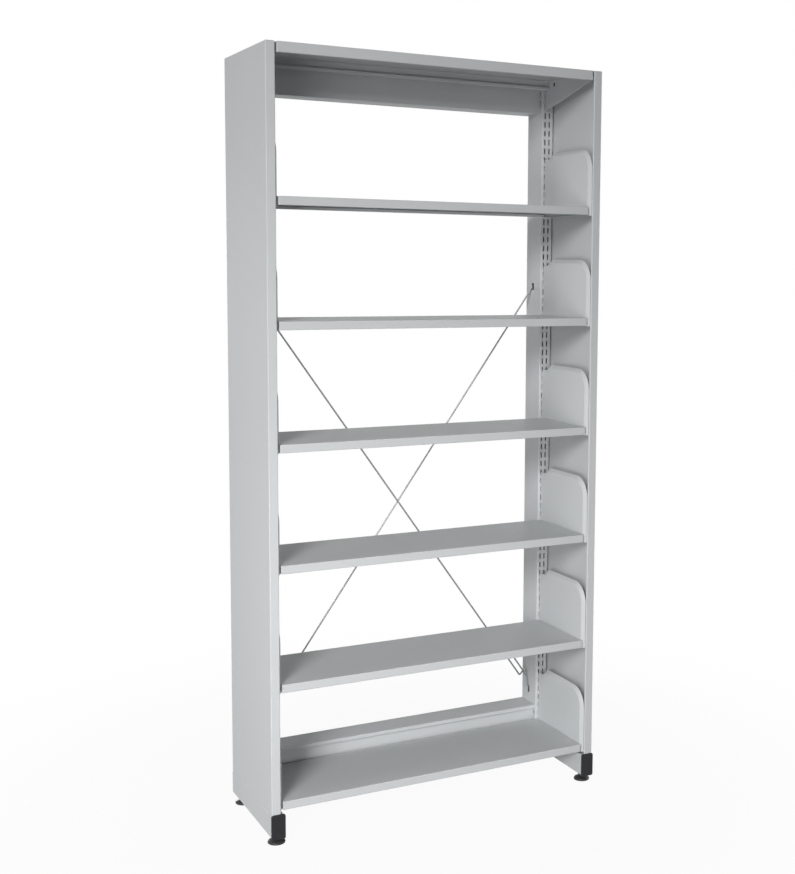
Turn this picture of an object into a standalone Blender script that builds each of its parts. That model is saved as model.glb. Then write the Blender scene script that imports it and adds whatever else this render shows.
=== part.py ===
"""Single-sided library rack: two slotted posts, six lift-off shelves on hooked brackets.

Metres, +Z up. X runs along the shelves, the books face -Y, and the origin is on the floor
under the middle of the rack. Pieces of the right-hand side are modelled at +X, and their
left-hand twins are mirrored from them.
"""

import math

import bmesh
import bpy
from mathutils import Vector

# Overall sizes and the clearance that touching pieces keep
HEIGHT = 2.000
WIDTH = 0.948
PANEL_DEPTH = 0.342
GAP = 0.0003

# End panels
PANEL_SHEET = 0.0012
PANEL_FLANGE = 0.0242
PANEL_HEM = 0.0045
PANEL_BEND = 0.0025
PANEL_SCREW_COUNT = 2
PANEL_SCREW_ABOVE_LEG = 0.2208
PANEL_SCREW_BELOW_TOP = 0.2000
PANEL_SCREW_RADIUS = 0.0020
PANEL_SCREW_HEAD_RADIUS = 0.0045
PANEL_SCREW_HEAD = 0.0018
PANEL_SCREW_LENGTH = 0.0080

# Levelling feet
FOOT_HEIGHT = 0.0187
FOOT_RADIUS = 0.0225
FOOT_EDGE = 0.0050
FOOT_HUB_RADIUS = 0.0095
FOOT_SOCKET_FLOOR = 0.0060
FOOT_SIDE_INSET = 0.0190
FOOT_FRONT_INSET = 0.0225
FOOT_REAR_INSET = 0.0385
STEM_RADIUS = 0.0050
STEM_LENGTH = 0.0480
FOOT_NUT_ACROSS = 0.0160
FOOT_NUT_HEIGHT = 0.0080

# Base legs, their front caps and rear plugs
LEG_WIDTH = 0.0330
LEG_HEIGHT = 0.0605
LEG_WALL = 0.0020
LEG_CORNER = 0.0030
CAP_PROUD = 0.0050
CAP_OVERHANG = 0.0022
CAP_CORNER = 0.0050
CAP_EDGE = 0.0014
CAP_TO_NUT = 0.0015
PLUG_DEPTH = 0.0150
PLUG_FLANGE = 0.0015

# Posts and their slots
POST_WIDTH = 0.0366
POST_DEPTH = 0.0850
POST_WALL = 0.0016
POST_CORNER = 0.0030
POST_TO_PANEL = 0.0040
SLOT_PITCH = 0.0254
SLOT_HEIGHT = 0.0160
SLOT_WIDTH = 0.0036
SLOT_COLUMN_INSET = 0.0098
SLOT_COLUMN_SPACING = 0.0136
SLOT_START = 0.0196
SLOT_TOP_MARGIN = 0.0120

# Hooks that hold brackets, gussets and rails in the slots
HOOK_NECK = 0.0108
HOOK_DROP = 0.0040
HOOK_TIP = 0.0035
HOOK_BACK_GAP = 0.0005

# Shelves
SHELF_DEPTH = 0.2480
SHELF_SHEET = 0.0010
SHELF_LIP = 0.0217
SHELF_RETURN = 0.0120
SHELF_UPTURN = 0.0070
SHELF_BEND = 0.0018
SHELF_END_GAP = 0.0008
SHELF_BACK_GAP = 0.0010
SLOTS_PER_SHELF = 12
LOWEST_SHELF_SLOT = 1
SHELF_BELOW_SLOT = 0.0156

# End brackets
BRACKET_SHEET = 0.0015
BRACKET_RISE = 0.1600
BRACKET_RIM_RISE = 0.0100
BRACKET_RIM_OUT = 0.0085
BRACKET_RIM_BEND = 0.0040
BRACKET_RIM_START = 0.0020
BRACKET_CORNER = 0.0460
BRACKET_TOE_CORNER = 0.0040
BRACKET_TOE_RUN = 0.0080
BRACKET_SHOULDER = 0.1430
BRACKET_SHOULDER_RUN = 0.0280
BRACKET_SHOULDER_SLOPE = 0.0100
BRACKET_LEDGE = 0.0120
BRACKET_LEDGE_INSET = 0.0060
BRACKET_HOOK_SLOTS = (0, 1, 3, 4)

# Canopy and its gussets
CANOPY_SHEET = 0.0010
CANOPY_LIP = 0.0260
CANOPY_REAR_LIP = 0.0285
CANOPY_RETURN = 0.0110
CANOPY_UPTURN = 0.0080
CANOPY_BEND = 0.0018
CANOPY_TO_POST = 0.0120
GUSSET_REAR_HEIGHT = 0.0850
GUSSET_FRONT_GAP = 0.0010
GUSSET_HOOK_COUNT = 2
CANOPY_SCREW_BACK = 0.0490
CANOPY_SCREW_DROP = 0.0135
CANOPY_SCREW_RADIUS = 0.0027
CANOPY_SCREW_HEAD_RADIUS = 0.0050
CANOPY_SCREW_HEAD = 0.0025
CANOPY_NUT_WALL = 0.0025
CANOPY_NUT_LENGTH = 0.0040

# Top and bottom rails
RAIL_SHEET = 0.0015
RAIL_HEIGHT = 0.0850
RAIL_SETBACK = 0.0025
RAIL_LIP = 0.0110
RAIL_WEB_SETBACK = 0.0110
RAIL_BACK_LIP = 0.0120
RAIL_BEND = 0.0020
RAIL_HOOK_COUNT = 2
RAIL_SLOT_WIDTH = 0.0050
RAIL_HOOK_DROP = 0.0310
TOP_RAIL_DROP = 0.0073
BOTTOM_RAIL_TOP = 0.1512

# Crossed brace rods
ROD_RADIUS = 0.0025
ROD_SPACING = 0.0058
BRACE_DEPTH = 0.0449
BRACE_SLOT_HEIGHT = 0.0200
BRACE_SLOT_WIDTH = 0.0120
BRACE_SLOT_TOP = 1.4195
BRACE_SLOT_LOW = 0.1790
ROD_BEND = 0.0040
ROD_HOOK = 0.0160
ROD_STANDOFF = 0.0040
LINK_OFFSET = 0.0165
LINK_JOIN = 0.0350
LINK_LENGTH = 0.1000
ROD_END = 0.0500
EYE_CLEARANCE = 0.0006
EYE_SWEEP = 258.0

# Facets of round shapes
BEND_STEPS = 3
CORNER_STEPS = 5
FOOT_SIDES = 20
ROD_SIDES = 8
SCREW_SIDES = 8
NUT_SIDES = 6
EYE_STEPS = 12

# Places worked out from the sizes
PANEL_FRONT = -(CAP_PROUD + PANEL_DEPTH + PANEL_SCREW_HEAD + GAP) / 2 + CAP_PROUD
PANEL_BACK = PANEL_FRONT + PANEL_DEPTH
PANEL_OUT = WIDTH / 2
LEG_TOP = FOOT_HEIGHT + LEG_HEIGHT
LEG_IN = PANEL_OUT - LEG_WIDTH
FOOT_X = PANEL_OUT - FOOT_SIDE_INSET
LEG_BACK = PANEL_BACK - PLUG_FLANGE - GAP
FOOT_FRONT = PANEL_FRONT + FOOT_FRONT_INSET
FOOT_REAR = PANEL_BACK - FOOT_REAR_INSET
POST_OUT = PANEL_OUT - PANEL_SHEET - POST_TO_PANEL
POST_IN = POST_OUT - POST_WIDTH
POST_BACK = PANEL_BACK - PANEL_SHEET - GAP
POST_FRONT = POST_BACK - POST_DEPTH
POST_LOW = LEG_TOP + GAP
POST_HIGH = HEIGHT - PANEL_SHEET - PLUG_FLANGE - 2 * GAP
SLOT_LOW = POST_LOW + SLOT_START
SLOT_COUNT = int((POST_HIGH - SLOT_TOP_MARGIN - SLOT_LOW) / SLOT_PITCH) + 1
SLOT_COLUMN_IN = POST_IN + SLOT_COLUMN_INSET
SLOT_COLUMN_OUT = SLOT_COLUMN_IN + SLOT_COLUMN_SPACING
BRACKET_IN = SLOT_COLUMN_IN + SLOT_WIDTH / 2 - GAP - BRACKET_SHEET
BRACKET_OUT = BRACKET_IN + BRACKET_SHEET
BRACKET_REAR = POST_FRONT - GAP
SHELF_BACK = POST_FRONT - SHELF_BACK_GAP
SHELF_FRONT = SHELF_BACK - SHELF_DEPTH
SHELF_HALF = BRACKET_IN - SHELF_END_GAP
BRACKET_LOW = -SHELF_LIP - GAP - BRACKET_SHEET
SHELF_PITCH = SLOTS_PER_SHELF * SLOT_PITCH
SHELF_LOW = SLOT_LOW + LOWEST_SHELF_SLOT * SLOT_PITCH - SHELF_BELOW_SLOT
CANOPY_HALF = BRACKET_OUT + GAP + CANOPY_SHEET
CANOPY_BACK = POST_FRONT - CANOPY_TO_POST
GUSSET_TOP = HEIGHT - CANOPY_SHEET - GAP
GUSSET_LOW = GUSSET_TOP - GUSSET_REAR_HEIGHT
SHELF_COUNT = int((GUSSET_LOW - BRACKET_RISE - SHELF_LOW) / SHELF_PITCH) + 1
RAIL_FRONT = POST_FRONT + RAIL_SETBACK
RAIL_WEB = RAIL_FRONT + RAIL_WEB_SETBACK
RAIL_HALF = POST_IN - GAP
TOP_RAIL_TOP = HEIGHT - TOP_RAIL_DROP
BRACE_Y = POST_FRONT + BRACE_DEPTH

MATERIALS = {
    "grey_paint": ((0.62, 0.63, 0.63, 1.0), 0.45, 0.0),
    "black_plastic": ((0.020, 0.020, 0.022, 1.0), 0.50, 0.0),
    "zinc_wire": ((0.60, 0.61, 0.62, 1.0), 0.35, 1.0),
    "zinc_screw": ((0.55, 0.55, 0.56, 1.0), 0.40, 1.0),
}


def clear_scene():
    for obj in list(bpy.data.objects):
        bpy.data.objects.remove(obj, do_unlink=True)


def material(name):
    """The Principled material of one finish, made on first use."""
    found = bpy.data.materials.get(name)
    if found:
        return found
    colour, roughness, metallic = MATERIALS[name]
    made = bpy.data.materials.new(name)
    made.use_nodes = True
    shader = made.node_tree.nodes["Principled BSDF"]
    shader.inputs["Base Color"].default_value = colour
    shader.inputs["Roughness"].default_value = roughness
    shader.inputs["Metallic"].default_value = metallic
    return made


def mesh_of(bm):
    """A mesh of a bmesh whose closed bodies all face outwards."""
    bmesh.ops.recalc_face_normals(bm, faces=bm.faces)
    mesh = bpy.data.meshes.new("shape")
    bm.to_mesh(mesh)
    bm.free()
    return mesh


def node(name, mesh, finish, location=(0, 0, 0)):
    """One named sub-part of the rack."""
    obj = bpy.data.objects.new(name, mesh)
    if not mesh.materials:
        mesh.materials.append(material(finish))
    mesh.shade_smooth()
    mesh.set_sharp_from_angle(angle=math.radians(30))
    obj.location = location
    bpy.context.scene.collection.objects.link(obj)
    return obj


def mirrored(mesh):
    """The left-hand twin of a right-hand mesh."""
    bm = bmesh.new()
    bm.from_mesh(mesh)
    for vert in bm.verts:
        vert.co.x = -vert.co.x
    bmesh.ops.reverse_faces(bm, faces=bm.faces)
    twin = bpy.data.meshes.new("shape")
    bm.to_mesh(twin)
    bm.free()
    return twin


def pair(name, mesh, finish, location=(0, 0, 0)):
    """A right-hand piece and its mirrored left-hand twin."""
    node(name.format("right"), mesh, finish, location)
    node(name.format("left"), mirrored(mesh), finish, location)


def joined(meshes):
    """Several closed bodies in one mesh."""
    bm = bmesh.new()
    for mesh in meshes:
        bm.from_mesh(mesh)
    return mesh_of(bm)


def boolean(base, tool, operation):
    """The mesh that a Boolean modifier makes of a base and a tool."""
    held = bpy.data.objects.new("base", base)
    other = bpy.data.objects.new("tool", tool)
    for obj in (held, other):
        bpy.context.scene.collection.objects.link(obj)
    step = held.modifiers.new("step", "BOOLEAN")
    step.operation = operation
    step.solver = "EXACT"
    step.object = other
    graph = bpy.context.evaluated_depsgraph_get()
    result = bpy.data.meshes.new_from_object(held.evaluated_get(graph))
    bpy.data.objects.remove(held)
    bpy.data.objects.remove(other)
    return result


def rounded(points, radius, steps):
    """An open path with each of its inner corners turned into an arc."""
    path = [Vector(point) for point in points]
    out = [path[0]]
    for before, corner, after in zip(path, path[1:], path[2:]):
        back = (before - corner).normalized()
        ahead = (after - corner).normalized()
        half = back.angle(ahead) / 2
        reach = radius / math.tan(half)
        centre = corner + (back + ahead).normalized() * (radius / math.sin(half))
        start = corner + back * reach - centre
        end = corner + ahead * reach - centre
        turn = start.angle(end)
        for step in range(steps + 1):
            share = step / steps
            arm = start * math.sin((1 - share) * turn) + end * math.sin(share * turn)
            out.append(centre + arm / math.sin(turn))
    out.append(path[-1])
    return out


def sheet(path, thickness):
    """The closed outline of a sheet whose outer side is a path, thickened to its left."""
    path = [Vector(point) for point in path]
    sides = [(b - a).normalized() for a, b in zip(path, path[1:])]
    lefts = [Vector((-side.y, side.x)) for side in sides]
    inner = []
    for index, point in enumerate(path):
        first = lefts[max(index - 1, 0)]
        second = lefts[min(index, len(lefts) - 1)]
        inner.append(point + (first + second) * thickness / (1 + first.dot(second)))
    return path + inner[::-1]


def prism(outline, place, start, end):
    """A flat outline drawn out from start to end; place turns (u, v, w) into (x, y, z)."""
    bm = bmesh.new()
    low = [bm.verts.new(place(u, v, start)) for u, v in outline]
    high = [bm.verts.new(place(u, v, end)) for u, v in outline]
    bm.faces.new(low)
    bm.faces.new(high)
    for index in range(len(low)):
        bm.faces.new((low[index - 1], low[index], high[index], high[index - 1]))
    return mesh_of(bm)


def loft(sections, loop=False):
    """A skin through loops of equally many points, with flat ends unless it closes on itself."""
    bm = bmesh.new()
    rings = [[bm.verts.new(point) for point in section] for section in sections]
    spans = list(zip(rings, rings[1:]))
    if loop:
        spans.append((rings[-1], rings[0]))
    else:
        bm.faces.new(rings[0])
        bm.faces.new(rings[-1])
    for low, high in spans:
        for index in range(len(low)):
            bm.faces.new((low[index - 1], low[index], high[index], high[index - 1]))
    return mesh_of(bm)


def box(low, high):
    """A plain block between two corners."""
    outline = [(low[0], low[1]), (high[0], low[1]), (high[0], high[1]), (low[0], high[1])]
    return prism(outline, along_z, low[2], high[2])


def along_x(u, v, w):
    return (w, u, v)


def along_y(u, v, w):
    return (u, w, v)


def along_z(u, v, w):
    return (u, v, w)


def circle(radius, sides):
    """Points round a circle, from its +u side."""
    turn = 2 * math.pi / sides
    return [(radius * math.cos(turn * i), radius * math.sin(turn * i)) for i in range(sides)]


def turned(profile, sides, centre, place):
    """A round piece about the w axis; the profile lists its (radius, w) rings."""
    sections = []
    for radius, w in profile:
        ring = circle(radius, sides)
        sections.append([place(centre[0] + u, centre[1] + v, w) for u, v in ring])
    return loft(sections)


def rounded_rectangle(low, high, radius):
    """The outline of a rectangle with rounded corners."""
    corners = (
        (high[0] - radius, high[1] - radius, 0),
        (low[0] + radius, high[1] - radius, 90),
        (low[0] + radius, low[1] + radius, 180),
        (high[0] - radius, low[1] + radius, 270),
    )
    outline = []
    for u, v, first in corners:
        for step in range(BEND_STEPS + 1):
            angle = math.radians(first + 90 * step / BEND_STEPS)
            outline.append((u + radius * math.cos(angle), v + radius * math.sin(angle)))
    return outline


def tube(low, high, corner, wall, place, start, end):
    """A rectangular tube with rounded corners and open ends."""
    outer = rounded_rectangle(low, high, corner)
    inner_low = (low[0] + wall, low[1] + wall)
    inner_high = (high[0] - wall, high[1] - wall)
    inner = rounded_rectangle(inner_low, inner_high, max(corner - wall, wall / 2))
    loops = ((outer, start), (outer, end), (inner, end), (inner, start))
    return loft([[place(u, v, w) for u, v in loop] for loop, w in loops], loop=True)


def swept(points, radius, sides):
    """A round wire along a path in space."""
    points = [Vector(point) for point in points]
    ahead = [(b - a).normalized() for a, b in zip(points, points[1:])]
    ahead = [ahead[0]] + [(a + b).normalized() for a, b in zip(ahead, ahead[1:])] + [ahead[-1]]
    side = ahead[0].orthogonal().normalized()
    sections = []
    for point, heading in zip(points, ahead):
        side = (side - heading * side.dot(heading)).normalized()
        up = heading.cross(side)
        ring = circle(radius, sides)
        sections.append([point + side * u + up * v for u, v in ring])
    return loft(sections)


def slot_z(index):
    """Height of the middle of a post slot, counted from the lowest."""
    return SLOT_LOW + index * SLOT_PITCH


def hook(slot_middle, edge, wall_near):
    """Outline points, top to bottom, of one hook that leaves an edge and drops behind a wall."""
    seat = slot_middle - SLOT_HEIGHT / 2 + GAP
    behind = wall_near + POST_WALL + HOOK_BACK_GAP
    tip = behind + HOOK_TIP
    low = seat - HOOK_DROP
    return [
        (edge, seat + HOOK_NECK),
        (tip, seat + HOOK_NECK),
        (tip, low),
        (behind, low),
        (behind, seat),
        (edge, seat),
    ]


def panel_screw_places():
    """Heights of the screws that fix an end panel to its post."""
    low = LEG_TOP + PANEL_SCREW_ABOVE_LEG
    rise = (HEIGHT - PANEL_SCREW_BELOW_TOP - low) / max(PANEL_SCREW_COUNT - 1, 1)
    return [low + rise * index for index in range(PANEL_SCREW_COUNT)]


def panel_screw_x():
    """Screws stand midway between the flange's edge and the post's outer side."""
    return (PANEL_OUT - PANEL_FLANGE + POST_OUT) / 2


def panel_screw_holes():
    """Cutters for the screw holes through a panel's rear flange and the post behind it."""
    radius = PANEL_SCREW_RADIUS + GAP
    start = POST_BACK - 2 * POST_WALL
    end = PANEL_BACK + PANEL_SHEET
    rings = ((radius, start), (radius, end))
    return [turned(rings, SCREW_SIDES, (panel_screw_x(), z), along_y) for z in panel_screw_places()]


def make_end_panels():
    """Folded sheet sides with front, rear and top flanges, standing on the base legs."""
    edge = PANEL_OUT - PANEL_FLANGE
    path = [
        (edge, PANEL_FRONT + PANEL_HEM),
        (edge, PANEL_FRONT),
        (PANEL_OUT, PANEL_FRONT),
        (PANEL_OUT, PANEL_BACK),
        (edge, PANEL_BACK),
    ]
    outline = sheet(rounded(path, PANEL_BEND, BEND_STEPS), PANEL_SHEET)
    skin = prism(outline, along_z, LEG_TOP + GAP, HEIGHT)
    inset = PANEL_SHEET / 2
    low = (edge, PANEL_FRONT + inset, HEIGHT - PANEL_SHEET)
    high = (PANEL_OUT - inset, PANEL_BACK - inset, HEIGHT)
    skin = boolean(skin, box(low, high), "UNION")
    skin = boolean(skin, joined(panel_screw_holes()), "DIFFERENCE")
    pair("end_panel_{}", skin, "grey_paint")


def make_panel_screws():
    """Pan-head screws through the rear flanges into the posts, counted from the lowest."""
    seat = PANEL_BACK + GAP
    for number, z in enumerate(panel_screw_places(), 1):
        rings = (
            (PANEL_SCREW_RADIUS, seat - PANEL_SCREW_LENGTH),
            (PANEL_SCREW_RADIUS, seat),
            (PANEL_SCREW_HEAD_RADIUS, seat),
            (PANEL_SCREW_HEAD_RADIUS, seat + PANEL_SCREW_HEAD / 2),
            (PANEL_SCREW_HEAD_RADIUS / 2, seat + PANEL_SCREW_HEAD),
        )
        screw = turned(rings, SCREW_SIDES, (panel_screw_x(), z), along_y)
        pair(f"panel_screw_{{}}_{number}", screw, "zinc_screw")


def slot_cutters():
    """Cutters for the two slot columns in a post's front wall."""
    cutters = []
    for column in (SLOT_COLUMN_IN, SLOT_COLUMN_OUT):
        for index in range(SLOT_COUNT):
            z = slot_z(index)
            low = (column - SLOT_WIDTH / 2, POST_FRONT - POST_WALL, z - SLOT_HEIGHT / 2)
            high = (column + SLOT_WIDTH / 2, POST_FRONT + 2 * POST_WALL, z + SLOT_HEIGHT / 2)
            cutters.append(box(low, high))
    return cutters


def rail_hook_heights(rail_top):
    """Middles of the post slots that one rail's hooks sit in."""
    first = rail_top - RAIL_HOOK_DROP
    return [first - index * SLOT_PITCH for index in range(RAIL_HOOK_COUNT)]


def side_slot_cutters():
    """Cutters for the rail and brace slots in a post's inner side wall."""
    rail_y = RAIL_WEB + RAIL_SHEET + GAP - RAIL_SLOT_WIDTH / 2
    places = []
    for rail_top in (TOP_RAIL_TOP, BOTTOM_RAIL_TOP):
        for z in rail_hook_heights(rail_top):
            places.append((rail_y, RAIL_SLOT_WIDTH, z - SLOT_HEIGHT / 2, z + SLOT_HEIGHT / 2))
    for low in (BRACE_SLOT_TOP - BRACE_SLOT_HEIGHT, BRACE_SLOT_LOW):
        places.append((BRACE_Y, BRACE_SLOT_WIDTH, low, low + BRACE_SLOT_HEIGHT))
    cutters = []
    for y, width, low_z, high_z in places:
        low = (POST_IN - POST_WALL, y - width / 2, low_z)
        high = (POST_IN + 2 * POST_WALL, y + width / 2, high_z)
        cutters.append(box(low, high))
    return cutters


def make_posts():
    """Slotted rectangular posts that stand on the base legs."""
    low = (POST_IN, POST_FRONT)
    high = (POST_OUT, POST_BACK)
    post = tube(low, high, POST_CORNER, POST_WALL, along_z, POST_LOW, POST_HIGH)
    cutters = slot_cutters() + side_slot_cutters() + panel_screw_holes()
    post = boolean(post, joined(cutters), "DIFFERENCE")
    pair("post_{}", post, "grey_paint")
    make_plug("post_plug_{}", low, high, POST_CORNER, POST_WALL, along_z, POST_HIGH, 1)


def make_plug(name, low, high, corner, wall, place, end, out):
    """A plastic plug in a tube's end, with a thin flange the size of the tube."""
    inset = wall + GAP
    inner_low = (low[0] + inset, low[1] + inset)
    inner_high = (high[0] - inset, high[1] - inset)
    inner = rounded_rectangle(inner_low, inner_high, max(corner - inset, wall / 2))
    outer = rounded_rectangle(low, high, corner)
    seat = end + out * GAP
    rings = (
        (inner, end - out * PLUG_DEPTH),
        (inner, seat),
        (outer, seat),
        (outer, seat + out * PLUG_FLANGE),
    )
    plug = loft([[place(u, v, w) for u, v in ring] for ring, w in rings])
    pair(name, plug, "black_plastic")


def make_legs():
    """Base legs from front to back under the posts and panels, with caps, plugs and nuts."""
    low = (LEG_IN, FOOT_HEIGHT)
    high = (PANEL_OUT, LEG_TOP)
    leg = tube(low, high, LEG_CORNER, LEG_WALL, along_y, PANEL_FRONT, LEG_BACK)
    radius = STEM_RADIUS + GAP
    rings = ((radius, FOOT_HEIGHT - LEG_WALL), (radius, FOOT_HEIGHT + 2 * LEG_WALL))
    holes = [turned(rings, SCREW_SIDES * 2, (FOOT_X, y), along_z) for y in (FOOT_FRONT, FOOT_REAR)]
    leg = boolean(leg, joined(holes), "DIFFERENCE")
    pair("base_leg_{}", leg, "grey_paint")
    make_plug("leg_plug_rear_{}", low, high, LEG_CORNER, LEG_WALL, along_y, LEG_BACK, 1)
    make_front_caps(low, high)


def make_front_caps(leg_low, leg_high):
    """Deep plastic caps over the front ends of the legs, with a softened face."""

    def grown(size, corner):
        low = (leg_low[0] - size, leg_low[1] - size)
        high = (leg_high[0] + size, leg_high[1] + size)
        return rounded_rectangle(low, high, corner)

    inset = LEG_WALL + GAP
    plug = grown(-inset, LEG_CORNER / 2)
    rim = grown(CAP_OVERHANG, CAP_CORNER)
    face = grown(CAP_OVERHANG - CAP_EDGE, CAP_CORNER - CAP_EDGE)
    seat = PANEL_FRONT - GAP
    front = PANEL_FRONT - CAP_PROUD
    rings = (
        (plug, FOOT_FRONT - FOOT_NUT_ACROSS / math.sqrt(3) - CAP_TO_NUT),
        (plug, seat),
        (rim, seat),
        (rim, front + CAP_EDGE),
        (face, front),
    )
    cap = loft([[along_y(u, v, w) for u, v in ring] for ring, w in rings])
    pair("leg_cap_front_{}", cap, "black_plastic")


def make_feet():
    """Screw-in levelling feet: a plastic pad on a threaded stem in a nut inside the leg."""
    hub_top = FOOT_HEIGHT - GAP
    edge_bevel = FOOT_EDGE / 4
    socket = STEM_RADIUS + GAP
    pad_rings = (
        (FOOT_RADIUS - edge_bevel, 0),
        (FOOT_RADIUS, edge_bevel),
        (FOOT_RADIUS, FOOT_EDGE - edge_bevel),
        (FOOT_RADIUS - 2 * edge_bevel, FOOT_EDGE + edge_bevel),
        (FOOT_HUB_RADIUS, 2 * FOOT_EDGE + edge_bevel),
        (FOOT_HUB_RADIUS, hub_top),
        (socket, hub_top),
        (socket, FOOT_SOCKET_FLOOR),
    )
    stem_low = FOOT_SOCKET_FLOOR + GAP
    stem_rings = (
        (STEM_RADIUS, stem_low),
        (STEM_RADIUS, stem_low + STEM_LENGTH - STEM_RADIUS / 3),
        (STEM_RADIUS * 2 / 3, stem_low + STEM_LENGTH),
    )
    pad = turned(pad_rings, FOOT_SIDES, (0, 0), along_z)
    stem = turned(stem_rings, SCREW_SIDES * 2, (0, 0), along_z)
    nut = foot_nut()
    for end, y in (("front", FOOT_FRONT), ("rear", FOOT_REAR)):
        for side, x in (("left", -FOOT_X), ("right", FOOT_X)):
            node(f"foot_pad_{end}_{side}", pad, "black_plastic", (x, y, 0))
            node(f"foot_stem_{end}_{side}", stem, "zinc_screw", (x, y, 0))
            node(f"foot_nut_{end}_{side}", nut, "zinc_screw", (x, y, 0))


def foot_nut():
    """A six-sided nut on a leg's floor, with a clear hole for the stem."""
    low = FOOT_HEIGHT + LEG_WALL + GAP
    high = low + FOOT_NUT_HEIGHT
    reaches = (FOOT_NUT_ACROSS / 2, FOOT_NUT_ACROSS / math.sqrt(3))
    spokes = circle(1, 2 * NUT_SIDES)
    outer = [(u * reaches[i % 2], v * reaches[i % 2]) for i, (u, v) in enumerate(spokes)]
    inner = [(u * (STEM_RADIUS + GAP), v * (STEM_RADIUS + GAP)) for u, v in spokes]
    loops = ((outer, low), (outer, high), (inner, high), (inner, low))
    return loft([[(u, v, w) for u, v in loop] for loop, w in loops], loop=True)


def shelf_mesh():
    """A shelf plate with lipped front and back, hemmed inwards, and folded ends."""
    low = -SHELF_LIP
    hem = low + SHELF_UPTURN
    path = [
        (SHELF_BACK - SHELF_RETURN, hem),
        (SHELF_BACK - SHELF_RETURN, low),
        (SHELF_BACK, low),
        (SHELF_BACK, 0),
        (SHELF_FRONT, 0),
        (SHELF_FRONT, low),
        (SHELF_FRONT + SHELF_RETURN, low),
        (SHELF_FRONT + SHELF_RETURN, hem),
    ]
    outline = sheet(rounded(path, SHELF_BEND, BEND_STEPS), SHELF_SHEET)
    plate = prism(outline, along_x, -SHELF_HALF, SHELF_HALF)
    inset = SHELF_SHEET / 2
    end_low = (SHELF_FRONT + inset, low + inset)
    end = rounded_rectangle(end_low, (SHELF_BACK - inset, -inset), SHELF_BEND - inset)
    ends = []
    for side in (-1, 1):
        ends.append(prism(end, along_x, side * (SHELF_HALF - SHELF_SHEET), side * SHELF_HALF))
    return boolean(plate, joined(ends), "UNION")


def bracket_rim_path():
    """Where the bracket's flat plate ends: along the top, down the front and round the toe."""
    top = BRACKET_RISE - BRACKET_RIM_RISE
    front = SHELF_FRONT + BRACKET_RIM_RISE
    toe = BRACKET_LOW + BRACKET_RIM_RISE
    rear = BRACKET_REAR - BRACKET_SHOULDER_RUN - BRACKET_SHOULDER_SLOPE
    start = [(rear, top), (front, top)]
    turn = rounded(start + [(front, toe)], BRACKET_CORNER, CORNER_STEPS)
    end = [turn[-2], (front, toe), (front + BRACKET_TOE_RUN, toe)]
    return turn[:-2] + rounded(end, BRACKET_TOE_CORNER, BEND_STEPS)


def bracket_plate_edge(toe):
    """The rest of the plate's edge, from behind the rim's rear end round to the toe."""
    edge = [
        (BRACKET_REAR - BRACKET_SHOULDER_RUN, BRACKET_SHOULDER),
        (BRACKET_REAR, BRACKET_SHOULDER),
    ]
    for slot in sorted(BRACKET_HOOK_SLOTS, reverse=True):
        middle = SHELF_BELOW_SLOT + slot * SLOT_PITCH
        edge += hook(middle, BRACKET_REAR, POST_FRONT)
    step = toe.x + BRACKET_LEDGE_INSET
    ledge_rear = BRACKET_REAR - BRACKET_LEDGE_INSET
    ledge_front = step + BRACKET_LEDGE_INSET
    edge += [(BRACKET_REAR, BRACKET_LOW), (ledge_rear, BRACKET_LOW), (ledge_front, BRACKET_LOW)]
    return edge + [(step, BRACKET_LOW), (step, toe.y)]


def rim_rows(bm, path, profile):
    """Rows of points across the bracket's rim, one row for each point of its path."""
    rows = []
    for index, point in enumerate(path):
        before = path[max(index - 1, 0)]
        after = path[min(index + 1, len(path) - 1)]
        along = (after - before).normalized()
        outward = Vector((along.y, -along.x))
        row = []
        for x, rise in profile:
            spot = point + outward * rise
            row.append(bm.verts.new((x, spot.x, spot.y)))
        rows.append(row)
    return rows


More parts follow.
